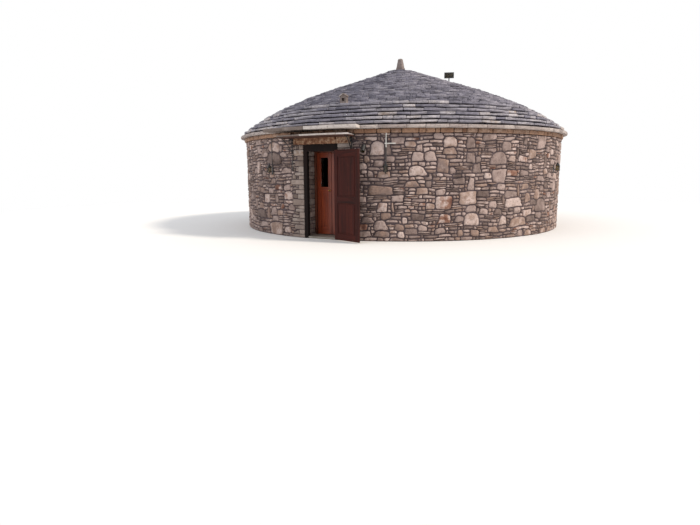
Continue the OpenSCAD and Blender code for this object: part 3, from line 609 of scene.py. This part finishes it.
def with_grain(piece):
    """Gives each closed part of a piece grain coordinates that run along its longest way."""
    mesh = piece.data
    points = np.array([v.co for v in mesh.vertices])
    ends = np.array([e.vertices for e in mesh.edges]).T
    part, old = np.arange(len(points)), None
    while not np.array_equal(part, old):
        old, low = part.copy(), part[ends].min(0)
        for end in ends:
            np.minimum.at(part, end, low)
        part = part[part]
    rng = np.random.default_rng(3)
    grain, tone = np.zeros(points.shape), np.zeros(len(points))
    for number in np.unique(part):
        own = part == number
        middle = points[own] - points[own].mean(0)
        axes = np.linalg.svd(middle, full_matrices=False)[2]
        spread = middle @ axes.T
        order = np.argsort(-(spread.max(0) - spread.min(0)))
        grain[own] = spread[:, order] + rng.uniform(0, 20, 3)
        tone[own] = rng.random()
    write(mesh, "grain", "FLOAT_VECTOR", "POINT", grain)
    write(mesh, "tone", "FLOAT", "POINT", tone)


# A face of a leaf below this area, in square metres, is part of an eased edge.
FLAT_FACE = 0.0002


def cut_at_joints(shape, members, closed):
    """Cuts a leaf along the joints of its members: (low x, high x, low z, high z) when closed."""
    opened = closed.inverted()
    bmesh.ops.triangulate(shape, faces=shape.faces[:])
    for axis, places in ((0, {x for m in members for x in m[:2]}), (2, {z for m in members
            for z in m[2:]})):
        for place in sorted(places)[1:-1]:
            at, across = Vector(), Vector()
            at[axis], across[axis] = place, 1.0
            bmesh.ops.bisect_plane(shape, geom=shape.verts[:] + shape.edges[:] + shape.faces[:], dist=1e-06,
                plane_co=opened @ at, plane_no=opened.to_3x3() @ across)


def with_joinery(piece, members, closed):
    """Gives each stile, rail and panel of a leaf grain that runs along it, and a tone of its own."""
    mesh = piece.data
    rng = np.random.default_rng(3)
    tones, shifts = rng.random(len(members)), rng.uniform(0, 20, (len(members), 3))
    grain, tone = [], []
    for face in mesh.polygons:
        x, y, z = closed @ face.center
        outside = [max(m[0] - x, x - m[1], m[2] - z, z - m[3]) for m in members]
        number = outside.index(min(outside))
        x0, x1, z0, z1 = members[number]
        for corner in face.vertices:
            x, y, z = closed @ mesh.vertices[corner].co
            along = (z, x, y) if z1 - z0 > x1 - x0 else (x, z, y)
            grain += [a + b for a, b in zip(along, shifts[number])]
            tone.append(tones[number])
    write(mesh, "grain", "FLOAT_VECTOR", "CORNER", grain)
    write(mesh, "tone", "FLOAT", "CORNER", tone)


def worked(node, material, ease, body="house", smooth_below=25, members=(), closed=Matrix()):
    """Makes a piece from the solids of a node, its sharp edges eased as a maker leaves them."""
    shape = bmesh.new()
    shape.from_mesh(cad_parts[node].data)
    bmesh.ops.remove_doubles(shape, verts=shape.verts, dist=1e-5)
    bmesh.ops.dissolve_limit(shape, angle_limit=radians(0.5), verts=shape.verts, edges=shape.edges)
    if ease:
        sharp = [e for e in shape.edges if len(e.link_faces) == 2 and e.calc_face_angle(0) > radians(35)]
        bmesh.ops.bevel(shape, geom=sharp, offset=ease, segments=2, profile=0.5, affect="EDGES",
            clamp_overlap=True)
    if members:
        cut_at_joints(shape, members, closed)
    mesh = bpy.data.meshes.new(node + "_worked")
    shape.to_mesh(mesh)
    shape.free()
    mesh.materials.append(material)
    mesh.polygons.foreach_set("use_smooth", [True] * len(mesh.polygons))
    mesh.polygons.foreach_set("material_index", [0] * len(mesh.polygons))
    mesh.set_sharp_from_angle(angle=radians(smooth_below))
    piece = new_object(node + "_worked", mesh)
    if members:
        mesh.polygons.foreach_set("use_smooth", [face.area < FLAT_FACE for face in mesh.polygons])
        with_joinery(piece, members, closed)
    else:
        with_grain(piece)
    return hand_in(piece, body, [node])


def paint_node(node, material):
    """Gives a node that is shown as it is a material of its own."""
    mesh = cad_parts[node].data
    mesh.materials.clear()
    mesh.materials.append(material)


# Old oak, hewn square and never painted: dark grey-brown, dry and matt, with deep open grain.
old_timber = wood_material("old oak", "0.2 #1d1410, 0.5 #33241b, 0.8 #4a382b", 0.85, bump_height=0.003)
worked("lintel_beams", old_timber, 0.006)
paint_node("wall_over_door", limewash)

# The stone courses of the roof: slabs of grey limestone laid dry in rings. A corbel course of
# brown stones carries the eave; each lower course is one ring of thick slabs on a set-back bed
# of small stones; the upper courses are thin slabs, each ring a hand's width inside the last.
def rule(name, inputs):
    """Starts a tree of Geometry Nodes; its inputs are (name, kind, value to start from)."""
    tree = bpy.data.node_groups.new(name, "GeometryNodeTree")
    for label, kind, value in inputs:
        socket = tree.interface.new_socket(label, in_out="INPUT", socket_type="NodeSocket" + kind)
        if value is not None:
            socket.default_value = value
    tree.interface.new_socket("Made", in_out="OUTPUT", socket_type="NodeSocketGeometry")
    put = partial(add, tree)
    return tree, put, put("GroupInput").outputs


def made_by(tree, name, points, **settings):
    """Runs a rule on points and gives back a piece of plain mesh, with no modifier left on it."""
    holder = new_object(name + " rule", points)
    modifier = holder.modifiers.new("lay", "NODES")
    modifier.node_group = tree
    for item in tree.interface.items_tree:
        key = item.name.replace(" ", "_")
        if key in settings:
            modifier[item.identifier] = settings[key]
    bpy.context.view_layer.update()
    graph = bpy.context.evaluated_depsgraph_get()
    made = bpy.data.meshes.new_from_object(holder.evaluated_get(graph), preserve_all_data_layers=True,
        depsgraph=graph)
    bpy.data.objects.remove(holder)
    made.materials.clear()
    made.materials.append(settings["Material"])
    return new_object(name, made)


tree, put, given = rule("ring of laid slabs", (("Courses", "Geometry", None), ("Slab", "Object", None),
    ("Joint", "Float", 0.006), ("Uneven widths", "Float", 0.35), ("Ragged edge", "Float", 0.012),
    ("Worn edge", "Float", 0.01), ("Waviness", "Float", 0.01), ("Uneven height", "Float", 0.004),
    ("Tilt", "Float", 0.02), ("Seed", "Int", 1), ("Material", "Material", None)))
slab_tree = tree
course = {name: put("InputNamedAttribute", Name=name, data_type="FLOAT").outputs[0]
    for name in ("radius", "bed", "thickness", "length", "width", "first", "arc", "bright", "number")}
# As many slabs as the run of a course takes, each with its share of it.
run = put("Math.MULTIPLY", course["arc"], course["radius"])
amount = put("Math.ROUND", put("Math.DIVIDE", run, course["width"]))
amount = put("Math.MAXIMUM", amount, 1.0)
slabs = put("DuplicateElements", Geometry=given["Courses"], Amount=amount, domain="POINT")
low = put("Math.SUBTRACT", 1.0, given["Uneven widths"])
high = put("Math.ADD", 1.0, given["Uneven widths"])
share = put("RandomValue", {2: low, 3: high, 8: given["Seed"]}, data_type="FLOAT").outputs[1]
so_far = put("AccumulateField", share, course["number"])
middle = put("Math.MULTIPLY_ADD", share, 0.5, so_far.outputs["Trailing"])
middle = put("Math.DIVIDE", middle, so_far.outputs["Total"])
centre = put("Math.MULTIPLY_ADD", middle, course["arc"], course["first"])
own = put("Math.DIVIDE", share, so_far.outputs["Total"])
own = put("Math.SUBTRACT", put("Math.MULTIPLY", own, run), given["Joint"])
# The chances of each slab: its tone, how far it stands out, how thick it is and how it leans.
# A course's bright share moves its tones towards the dark end; the set-back beds and the shaded slabs over
# the doorway get their painted shade this way.
darkest = put("Math.MULTIPLY", course["bright"], 0.32)
lightest = put("Math.MULTIPLY_ADD", course["bright"], 0.84, 0.16)
kept = {"centre": centre, "own width": own}
for step, name in enumerate(("tone", "edge", "rise", "pitch", "roll")):
    ends = (darkest, lightest) if name == "tone" else (-1.0, 1.0)
    kept[name] = put("RandomValue", {2: ends[0], 3: ends[1], 8: put("Math.ADD", given["Seed"],
        11.0 * step + 7.0)}, data_type="FLOAT").outputs[1]
laid = slabs
for name, field in kept.items():
    laid = put("StoreNamedAttribute", laid, Name=name, Value=field, data_type="FLOAT", domain="POINT")
one = put("ObjectInfo", Object=given["Slab"]).outputs["Geometry"]
laid = put("RealizeInstances", put("InstanceOnPoints", laid, Instance=one))
each = {name: put("InputNamedAttribute", Name=name, data_type="FLOAT").outputs[0]
    for name in ("centre", "own width", "edge", "rise", "pitch", "roll")}
inset = put("InputNamedAttribute", Name="inset", data_type="FLOAT_VECTOR")
part = put("InputPosition")
# The slab of unit size is brought to its own size, with worn edges and wavy faces.
taller = put("Math.MULTIPLY_ADD", each["rise"], given["Uneven height"], course["thickness"])
size = put("CombineXYZ", each["own width"], course["length"], taller)
size = put("VectorMath.MULTIPLY", size, (0.5, 0.5, 0.5))
worn = put("VectorMath.SCALE", inset, Scale=given["Worn edge"])
local = put("VectorMath.MULTIPLY_ADD", part, size, worn)
apart = put("CombineXYZ", each["centre"], course["radius"], course["bed"])
apart = put("VectorMath.MULTIPLY_ADD", apart, (31.0, 17.0, 23.0), local)
noise = put("TexNoise", apart, Scale=6.0, Detail=3.0, Roughness=0.55).outputs["Color"]
noise = put("VectorMath.SUBTRACT", noise, (0.5, 0.5, 0.5))
noise = put("VectorMath.MULTIPLY", noise, (2.0, 2.0, 1.0))
noise = put("VectorMath.SCALE", noise, Scale=given["Waviness"])
local = put("SeparateXYZ", put("VectorMath.ADD", local, noise)).outputs
# Then it is set down: out from the middle, fanned with the ring, tipped, and turned to its angle.
half_long = put("Math.MULTIPLY_ADD", course["length"], -0.5, local[1])
out = put("Math.MULTIPLY_ADD", each["edge"], given["Ragged edge"], half_long)
reach = put("Math.ADD", course["radius"], out)
taper = put("Math.DIVIDE", reach, course["radius"])
across = put("Math.MULTIPLY", local[0], taper)
lean = put("Math.MULTIPLY", each["pitch"], out)
lean = put("Math.MULTIPLY_ADD", each["roll"], local[0], lean)
lean = put("Math.MULTIPLY_ADD", lean, given["Tilt"], local[2])
level = put("Math.MULTIPLY_ADD", course["thickness"], 0.5, course["bed"])
level = put("Math.ADD", level, lean)
spot = put("CombineXYZ", across, put("Math.MULTIPLY", reach, -1.0), level)
spot = put("VectorRotate", spot, Angle=each["centre"], rotation_type="Z_AXIS")
laid = put("SetShadeSmooth", put("SetPosition", laid, Position=spot))
put("GroupOutput", put("SetMaterial", laid, Material=given["Material"]))

index, faces = box_shell((5, 3, 4))
side, pulled = (np.array([[line[n] for line, n in zip(lines, corner)] for corner in index], float)
    for lines in (((-1, -1, 0, 1, 1), (-1, 1, 1), (-1, -1, 1, 1)),
    ((0, 1, 0, -1, 0), (0, -1, 0), (0, 1, -1, 0))))
tip = np.where((pulled == 0) & (side != 0), side, 0.0)
rounded = tip / np.maximum(np.linalg.norm(tip, axis=1, keepdims=True), 1.0) - tip
mesh = bpy.data.meshes.new("one slab")
mesh.from_pydata(side.tolist(), [], outward(side + 0.05 * (pulled + rounded), faces))
write(mesh, "inset", "FLOAT_VECTOR", "POINT", pulled + rounded)
one_slab = new_object("one slab", mesh)


def lay_slabs(name, courses, material, node, slot, **settings):
    """Lays rings of slabs, one for each course of values in the order that the rule names them."""
    mesh = bpy.data.meshes.new(name)
    mesh.from_pydata([(0, 0, 0)] * len(courses), [], [])
    for label, values in zip(course, np.column_stack([courses, np.arange(len(courses))]).T):
        write(mesh, label, "FLOAT", "POINT", values)
    piece = made_by(slab_tree, name, mesh, Slab=one_slab, Material=material, **settings)
    for label in (*each, "inset", *course):
        if label in piece.data.attributes:
            piece.data.attributes.remove(piece.data.attributes[label])
    hand_in(piece, "house", [node])


ROUND = 2 * pi
# Brown limestone from the bed below, rough split: warm, matt, with iron stains 100 mm across.
corbel_stone = stone_material("brown limestone", "0 #523629, 0.3 #88634c, 0.55 #a9856c, 0.8 #91725f, "
    "1 #c1a691", "#5c3d2e", 100, 0.024, mottle=0.7)
# Roof slabs of split limestone, weathered by rain: blue-grey with black lichen and pale worn
# edges, matt, and lined along the bedding. The darkest tones go mostly to the set-back beds,
# as painted shade.
roof_stone = stone_material("weathered roof limestone", "0 #343138, 0.16 #4a474f, 0.34 #777480, "
    "0.55 #918d96, 0.76 #a8a3a8, 0.9 #c4bdbd, 1 #b09e90", "#5a5458", 70, 0.022, bedding=0.36, mottle=0.5)
# The eave slabs are the same stone, drier and dustier: pale brown-grey and matt.
eave_stone = stone_material("weathered eave limestone", "0 #7b6e68, 0.35 #998c87, 0.7 #ada19b, "
    "1 #c2b5ad", "#77655b", 100, 0.018, bedding=0.22, mottle=0.5)
# Newer sawn-bed slabs of pale limestone over the doorway: off-white, even and dull. The
# brown-grey tones at the dark end are painted shade, for the left half of the canopy and the left drip
# slab.
pale_stone = stone_material("pale limestone slabs", "0 #62564f, 0.2 #776a63, 0.36 #ab9f98, "
    "0.6 #c3b9b2, 0.85 #cbc1bb, 1 #b5a69b", "#8b7d76", 120, 0.01, bedding=0.12)
low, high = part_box("corbel_course")
lay_slabs("corbel_stones", [(high.x - 0.006, low.z, high.z - low.z, 0.32, 0.25, 0.0, ROUND, 1)],
    corbel_stone, "corbel_course", "brown_stone", Joint=0.014, Uneven_widths=0.68, Ragged_edge=0.014,
    Worn_edge=0.018, Waviness=0.02, Seed=2)
low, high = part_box("eave_course")
canopy_low, canopy_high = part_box("canopy_slabs")
CANOPY_R = -canopy_low.y
canopy_first = -asin(-canopy_low.x / CANOPY_R)
canopy_arc = asin(canopy_high.x / CANOPY_R) - canopy_first
lay_slabs("eave_slabs", [(high.y, low.z, high.z - low.z, 0.42, 0.42, canopy_first + canopy_arc,
    ROUND - canopy_arc, 1)], eave_stone, "eave_course", "roof_slab_stone",
    Joint=0.005, Uneven_widths=0.55, Ragged_edge=0.01, Worn_edge=0.012, Waviness=0.014, Tilt=0.012, Seed=5)
# The left half of the canopy takes only the dark end of the tones: painted shade; the right half stays
# pale.
lay_slabs("canopy_stones", [(CANOPY_R - 0.004, low.z, high.z - low.z, CANOPY_R - high.y + 0.42,
    canopy_arc * CANOPY_R / 4, canopy_first + end * canopy_arc / 2, canopy_arc / 2, end) for end in (0, 1)],
    pale_stone, "canopy_slabs", "pale_slab_stone", Uneven_widths=0.2, Ragged_edge=0.008, Tilt=0.004,
    Uneven_height=0.003, Seed=3)


def corners_of(node):
    """How far from the middle and how high the corners of a node are."""
    x, y, z = np.array([v.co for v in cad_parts[node].data.vertices]).T
    return np.hypot(x, y), z


radii, heights = corners_of("roof_lower_courses")
low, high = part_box("roof_lower_courses")
LOWER_COURSES = 6
BED_H = 0.045
step_h = (high.z - low.z) / LOWER_COURSES
lower = []
for k in range(LOWER_COURSES):
    z = low.z + k * step_h
    near = radii[(heights > z + BED_H - 0.003) & (heights < z + step_h - 0.003)].max()
    # Each bed gets only the darkest tones: painted shade under the slab that overhangs it.
    lower.append((near - 0.075, z, BED_H, 0.2, 0.2, 0.37 * k, ROUND, 0))
    lower.append((near, z + BED_H, step_h - BED_H, 0.4, 0.44, 0.61 * k, ROUND, 1))
lay_slabs("lower_roof_slabs", lower, roof_stone, "roof_lower_courses", "roof_slab_stone",
    Uneven_widths=0.5, Ragged_edge=0.022, Worn_edge=0.012, Waviness=0.022, Uneven_height=0.011,
    Tilt=0.035, Seed=8)

UPPER_H = 0.05
for node, name in (("roof_upper_courses", "upper_roof_slabs"), ("roof_cap", "cap_slabs")):
    radii, heights = corners_of(node)
    low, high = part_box(node)
    count = round((high.z - low.z) / UPPER_H)
    step_h = (high.z - low.z) / count
    upper = []
    for k in range(count):
        z = low.z + k * step_h
        near = radii[(heights > z + 0.6 * step_h) & (heights < z + step_h + 0.002)].max().round(3)
        upper.append((near, z, step_h, min(0.36, near - 0.01), 0.25, 0.83 * k, ROUND, 0.52))
    lay_slabs(name, upper, roof_stone, node, "roof_slab_stone", Joint=0.005, Uneven_widths=0.6,
        Ragged_edge=0.03, Worn_edge=0.009, Waviness=0.024, Uneven_height=0.014, Tilt=0.06, Seed=13)
low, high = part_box("drip_slabs")
drip_r = -low.y
drip_cuts = [radians(a) for a in (-10.5, -2.6, 7.7, 11.1)]
# The left drip slab takes only the dark end of the tones: painted shade; the two on the right stay pale.
lay_slabs("drip_stones", [(drip_r - 0.004, low.z, high.z - low.z, drip_r - WALL_R - 0.012, 1.2, a, b - a,
    pale) for a, b, pale in zip(drip_cuts, drip_cuts[1:], (0, 1, 1))], pale_stone, "drip_slabs",
    "pale_slab_stone", Joint=0.005, Uneven_widths=0.0, Ragged_edge=0.006, Worn_edge=0.007, Waviness=0.007,
    Uneven_height=0.002, Tilt=0.0, Seed=4)
bpy.data.objects.remove(one_slab)

# The pinnacle on the cap: one tapered stone of weathered limestone, roughly squared with a
# hammer and bedded on the top course.
low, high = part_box("pinnacle")
rng = np.random.default_rng(17)
corners = [(x * half, y * half, z) for x, y, (z, half) in product((-1, 1), (-1, 1),
    ((low.z, high.x - 0.004), (high.z, 0.056)))]
verts, faces = rough_block(corners, (4, 4, 7), 0.03, 0.006, rng)
# Its tone is set at the dark end of the eave stone: painted shade over the whole pinnacle.
make_piece("pinnacle_stone", [(verts, faces, 0, 0.05)], [eave_stone], ["pinnacle"])

# The vent on the roof: a small box of thin limestone slabs with a round hole in it, under two
# leaning slabs of pale limestone, all laid dry.
paint_node("roof_vent", eave_stone)
# The cover slabs are paler than the box: partly their own stone, partly a painted highlight where the light
# falls on them.
worked("vent_cover", pale_stone, 0.006)

# Inside: a vault of pale, soft limestone laid flat in rings and closed by a crown stone, and a
# floor of worn flagstones; one worn stone makes the threshold.
def lay_joints(material, across, up, width, height, joint):
    """Adds open joints between blocks to a stone material, and a tone of its own to each block."""
    put, nodes = opened(material)
    shader, bump = nodes["Principled BSDF"], nodes["Bump"]
    face, relief = (socket.links[0].from_socket for socket in (shader.inputs["Base Color"],
        bump.inputs["Height"]))
    flat = put("CombineXYZ", across, up)
    blocks = put("TexBrick", flat, Color1=(0.72, 0.72, 0.72, 1), Color2=(1.08, 1.06, 1.04, 1),
        Mortar=(0.2, 0.18, 0.16, 1), Scale=1.0, Mortar_Size=joint, Mortar_Smooth=0.4, Brick_Width=width,
        Row_Height=height)
    toned = put("VectorMath.MULTIPLY", face, blocks.outputs["Color"])
    deep = put("Math.MULTIPLY_ADD", blocks.outputs["Fac"], -1.5, relief)
    feed(shader, Base_Color=toned)
    feed(bump, Height=deep)


# Soft limestone, hewn with an axe: cream, chalky and matt, clouded every 150 mm.
vault_stone = stone_material("pale vault limestone", "0 #b5a68f, 0.5 #c9bda9, 1 #a6957c", "#9c8a70", 150,
    0.02)
laid_vault = vault_stone.copy()
laid_vault.name = "laid vault limestone"
put, nodes = opened(laid_vault)
place = put("SeparateXYZ", nodes["Texture Coordinate"].outputs["Object"]).outputs
turn = put("Math.ARCTAN2", place["Y"], place["X"])
plan = put("CombineXYZ", place["X"], place["Y"])
radius = put("VectorMath.LENGTH", plan).outputs["Value"]
inward = put("Math.SUBTRACT", place["Z"], radius)
VAULT_BLOCKS, MID_RADIUS = 64, 2.5
across = put("Math.MULTIPLY", turn, MID_RADIUS)
lay_joints(laid_vault, across, inward, width=ROUND * MID_RADIUS / VAULT_BLOCKS, height=0.19, joint=0.006)
paint_node("roof_vault", laid_vault)
paint_node("vault_crown", vault_stone)
# Flagstones worn by feet: grey, smoother than the walls and with a faint sheen.
flagstone = stone_material("worn flagstone", "0 #7b746b, 0.5 #938b80, 1 #a39a8d",
    "#6d645a", 300, 0.003, roughness=0.6)
laid_flags = flagstone.copy()
laid_flags.name = "laid flagstones"
put, nodes = opened(laid_flags)
place = put("SeparateXYZ", nodes["Texture Coordinate"].outputs["Object"]).outputs
lay_joints(laid_flags, place["X"], place["Y"], width=0.62, height=0.44, joint=0.006)
paint_node("floor_slab", laid_flags)
low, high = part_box("threshold_stone")
rng = np.random.default_rng(9)
corners = list(product(*zip(low, high)))
verts, faces = rough_block(corners, (8, 7, 2), 0.014, 0.0012, rng)
verts[:, 2] -= 0.008 * (verts[:, 2] > 0.03) * np.exp(-(verts[:, 0] / 0.25) ** 2)
make_piece("worn_threshold", [(verts, faces, 0, 0.3)], [flagstone], ["threshold_stone"])

# Over the door: a dark stained board on two forged flat-bar brackets, with thin pale drip
# slabs bedded on it.

# Pine under a brown stain: dark, with a dull sheen and the grain still showing.
stained_wood = wood_material("stained pine", "0.2 #2a1712, 0.5 #44281f, 0.8 #5d3a2c", 0.5)
worked("shelf_board", stained_wood, 0.003)


def metal_material(name, base, spots, roughness, metallic=0.0, spot_share=0.6):
    """Painted or bare metal with worn spots 70 mm across, and a cast or hammered grain.

    That grain is finer than a millimetre, so it is drawn at 8 mm.
    """
    material, put, shader = new_material(name, Metallic=metallic)
    place = put("TexCoord").outputs["Object"]
    patch = put("TexNoise", place, Scale=every(70), Detail=9.0, Roughness=0.7)
    where = put("MapRange", patch, From_Min=spot_share - 0.05, From_Max=spot_share + 0.08)
    mixed = put("Mix", {0: where, 6: colour(base), 7: colour(spots)}, data_type="RGBA")
    feed(shader, Base_Color=mixed.outputs[2])
    rough = put("MapRange", patch, To_Min=roughness - 0.15, To_Max=roughness + 0.2)
    feed(shader, Roughness=rough)
    grain = put("TexNoise", place, Scale=every(8), Detail=3.0)
    feed(shader, Normal=put("Bump", Height=grain, Strength=0.4, Distance=0.0008))
    return material


# Wrought iron, forged and blacked with oil: near black under its scale, dull, with rust spots.
wrought_iron = metal_material("wrought iron", "#2b2624", "#4a3024", 0.6)
worked("shelf_brackets", wrought_iron, 0.0015)

# The lamps: black sheet-metal lanterns with six panes, a black spot lamp, a grey floodlight on
# a stem, and the pipes that their wires run in.

# Sheet steel under black enamel: near black with a soft gloss. The floodlight is die-cast
# aluminium under grey powder coat, duller. The glass is blown, faintly amber, with seeds that
# are drawn 17 mm apart so that they show.
black_metal = metal_material("black enamelled metal", "#1c1b1c", "#2c2926", 0.45)
grey_metal = metal_material("grey die-cast metal", "#3f4347", "#55585a", 0.5)
lamp_glass, put, shader = new_material("seeded lamp glass", Roughness=0.15, IOR=1.5,
    Transmission_Weight=1.0, Base_Color=colour("#bfae7e"))
place = put("TexCoord").outputs["Object"]
seeds = put("TexNoise", place, Scale=every(17), Detail=2.0)
feed(shader, Normal=put("Bump", Height=seeds, Strength=0.3, Distance=0.001))
for node in ("lantern_glass", "spot_lamp_lens", "floodlight_glass"):
    paint_node(node, lamp_glass)
worked("lantern_frames", black_metal, 0.001)
worked("spot_lamp", black_metal, 0.0015)
worked("floodlight", grey_metal, 0.003)
WHITE_DOWN_TO = 2.17
# Extruded PVC pipe, brown-grey on the left and white on the right, dulled by the sun.
dark_pipe = metal_material("dark plastic pipe", "#4a4442", "#37322f", 0.6)
white_pipe = metal_material("white plastic pipe", "#dcdad4", "#b8b2a8", 0.5)
put, nodes = opened(white_pipe)
shader = nodes["Principled BSDF"]
height = put("SeparateXYZ", nodes["Texture Coordinate"].outputs["Object"])
below = put("Math.LESS_THAN", height.outputs["Z"], WHITE_DOWN_TO)
painted = shader.inputs["Base Color"].links[0].from_socket
pipe = put("Mix", {0: below, 6: painted, 7: colour("#4a4442")}, data_type="RGBA")
feed(shader, Base_Color=pipe.outputs[2])
paint_node("conduit_left", dark_pipe)
paint_node("conduit_right", white_pipe)

# The outer door: a dark stained frame between the piers, and one maroon leaf of stiles, rails
# and raised panels that hangs on long forged straps and stands open against the wall.

# Oak under many coats of dark stain: almost black on the frame, maroon-brown on the leaf,
# dry and dull, worn paler in patches about 165 mm across.
dark_wood = wood_material("dark stained oak", "0.2 #0a0403, 0.5 #120806, 0.8 #1c0d09", 0.9)
maroon_wood = wood_material("maroon stained oak", "0.2 #240a06, 0.5 #3a110b, 0.8 #4a1b11",
    0.85, wear="#421d12")
worked("outer_door_frame", dark_wood, 0.003)
worked("outer_door_pintles", wrought_iron, 0.0015)
PIVOT = Vector((0.444, -4.753, 0.0))
STANDS_OPEN = radians(160)
shut = Matrix.Translation(PIVOT) @ Matrix.Rotation(-STANDS_OPEN, 4, "Z") @ Matrix.Translation(-PIVOT)
LEAF_X, LEAF_LOW, LEAF_HIGH = 0.428, 0.025, 2.13
STILE, RAIL, MID_LOW, MID_HIGH = 0.115, 0.15, 0.9025, 1.0525
between = LEAF_X - STILE


def members_of(x0, x1, x2, x3, *heights):
    """Two stiles of full height, and between them a rail or a panel from each height to the next."""
    stiles = [(x0, x1, heights[0], heights[-1]), (x2, x3, heights[0], heights[-1])]
    return stiles + [(x1, x2, low, high) for low, high in zip(heights, heights[1:])]


outer_members = members_of(-LEAF_X, -between, between, LEAF_X, LEAF_LOW, LEAF_LOW + RAIL, MID_LOW,
    MID_HIGH, LEAF_HIGH - RAIL, LEAF_HIGH)
worked("outer_leaf", maroon_wood, 0.003, body="outer_door", smooth_below=12,
    members=outer_members, closed=shut)
worked("outer_leaf_straps", wrought_iron, 0.001, body="outer_door")
# Domed rivets, hammered over along the middle of each strap, five to a strap.
tree, put, given = rule("domed rivets", (("Places", "Geometry", None), ("Head radius", "Float", 0.009),
    ("Head rise", "Float", 0.003), ("Turned", "Float", 0.0), ("Material", "Material", None)))
ball = put("MeshUVSphere", Segments=12, Rings=4, Radius=1.0)
size = put("CombineXYZ", given["Head radius"], given["Head radius"], given["Head rise"])
head = put("Transform", Geometry=ball, Rotation=(pi / 2, 0, 0), Scale=size)
turned = put("CombineXYZ", {2: given["Turned"]})
rivets = put("InstanceOnPoints", given["Places"], Instance=head, Rotation=turned)
rivets = put("SetShadeSmooth", put("RealizeInstances", rivets))
put("GroupOutput", put("SetMaterial", rivets, Material=given["Material"]))
STRAP_FACE, EYE_H = -4.756, 0.045
STRAP_SHARES, RIVET_PLACES = (0.13, 0.5, 0.87), (0.03, 0.12, 0.21, 0.3, 0.39)
places = bpy.data.meshes.new("rivet places")
places.from_pydata([shut.inverted() @ Vector((x, STRAP_FACE,
    LEAF_LOW + share * (LEAF_HIGH - LEAF_LOW) + EYE_H / 2)) for share in STRAP_SHARES
    for x in RIVET_PLACES], [], [])
strap_rivets = made_by(tree, "strap_rivets", places, Turned=STANDS_OPEN, Material=wrought_iron)
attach(strap_rivets, "outer_door")

# The inner door: a pair of glazed leaves of varnished pine, with a panel below the glass, hung
# on brass butt hinges in a chestnut frame; the left leaf has a brass knob on each face.

# Chestnut and pine under varnish: red-brown frame, warmer orange-brown leaves, both with a
# satin sheen. The fittings are cast brass, dulled by hands; the panes are drawn glass, clear,
# with a faint ripple every 200 mm.
brown_wood = wood_material("varnished chestnut frame", "0.2 #3d1a0d, 0.5 #582a18, 0.8 #6d3821", 0.5,
    coat=0.15)
orange_wood = wood_material("varnished pine", "0.2 #64250f, 0.5 #8a3718, 0.8 #a24b22", 0.42, coat=0.25)
brass = metal_material("dulled brass", "#b08d4a", "#7d6231", 0.35, metallic=1.0)
window_glass, put, shader = new_material("window glass", Roughness=0.02, IOR=1.52,
    Transmission_Weight=1.0, Base_Color=colour("#f3f7f5"))
place = put("TexCoord").outputs["Object"]
ripple = put("TexNoise", place, Scale=every(200), Detail=1.0)
feed(shader, Normal=put("Bump", Height=ripple, Strength=0.1, Distance=0.002))
worked("inner_door_frame", brown_wood, 0.003)
paint_node("inner_frame_hinges", brass)
leaf_low, leaf_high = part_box("inner_leaf_right")
glass_low, glass_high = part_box("inner_glass_right")
LEAF_BACK = -4.145
EDGE = 0.418
MID_RAIL, BOTTOM_RAIL = 0.11, 0.18
inner_members = members_of(leaf_low.x, glass_low.x, glass_high.x, EDGE, leaf_low.z,
    leaf_low.z + BOTTOM_RAIL, glass_low.z - MID_RAIL, glass_low.z, glass_high.z, leaf_high.z)
for hand, mirrored in (("left", Matrix.Scale(-1, 4, (1, 0, 0))), ("right", Matrix())):
    leaf = worked("inner_leaf_" + hand, orange_wood, 0.0025, body="inner_door_" + hand,
        smooth_below=12, members=inner_members, closed=mirrored)
    leaf.data.materials.append(brass)
    for face in leaf.data.polygons:
        if face.center.y > LEAF_BACK + 0.0003 or abs(face.center.x) > EDGE + 0.0003:
            face.material_index = 1
    paint_node("inner_glass_" + hand, window_glass)
paint_node("inner_knob_left", brass)
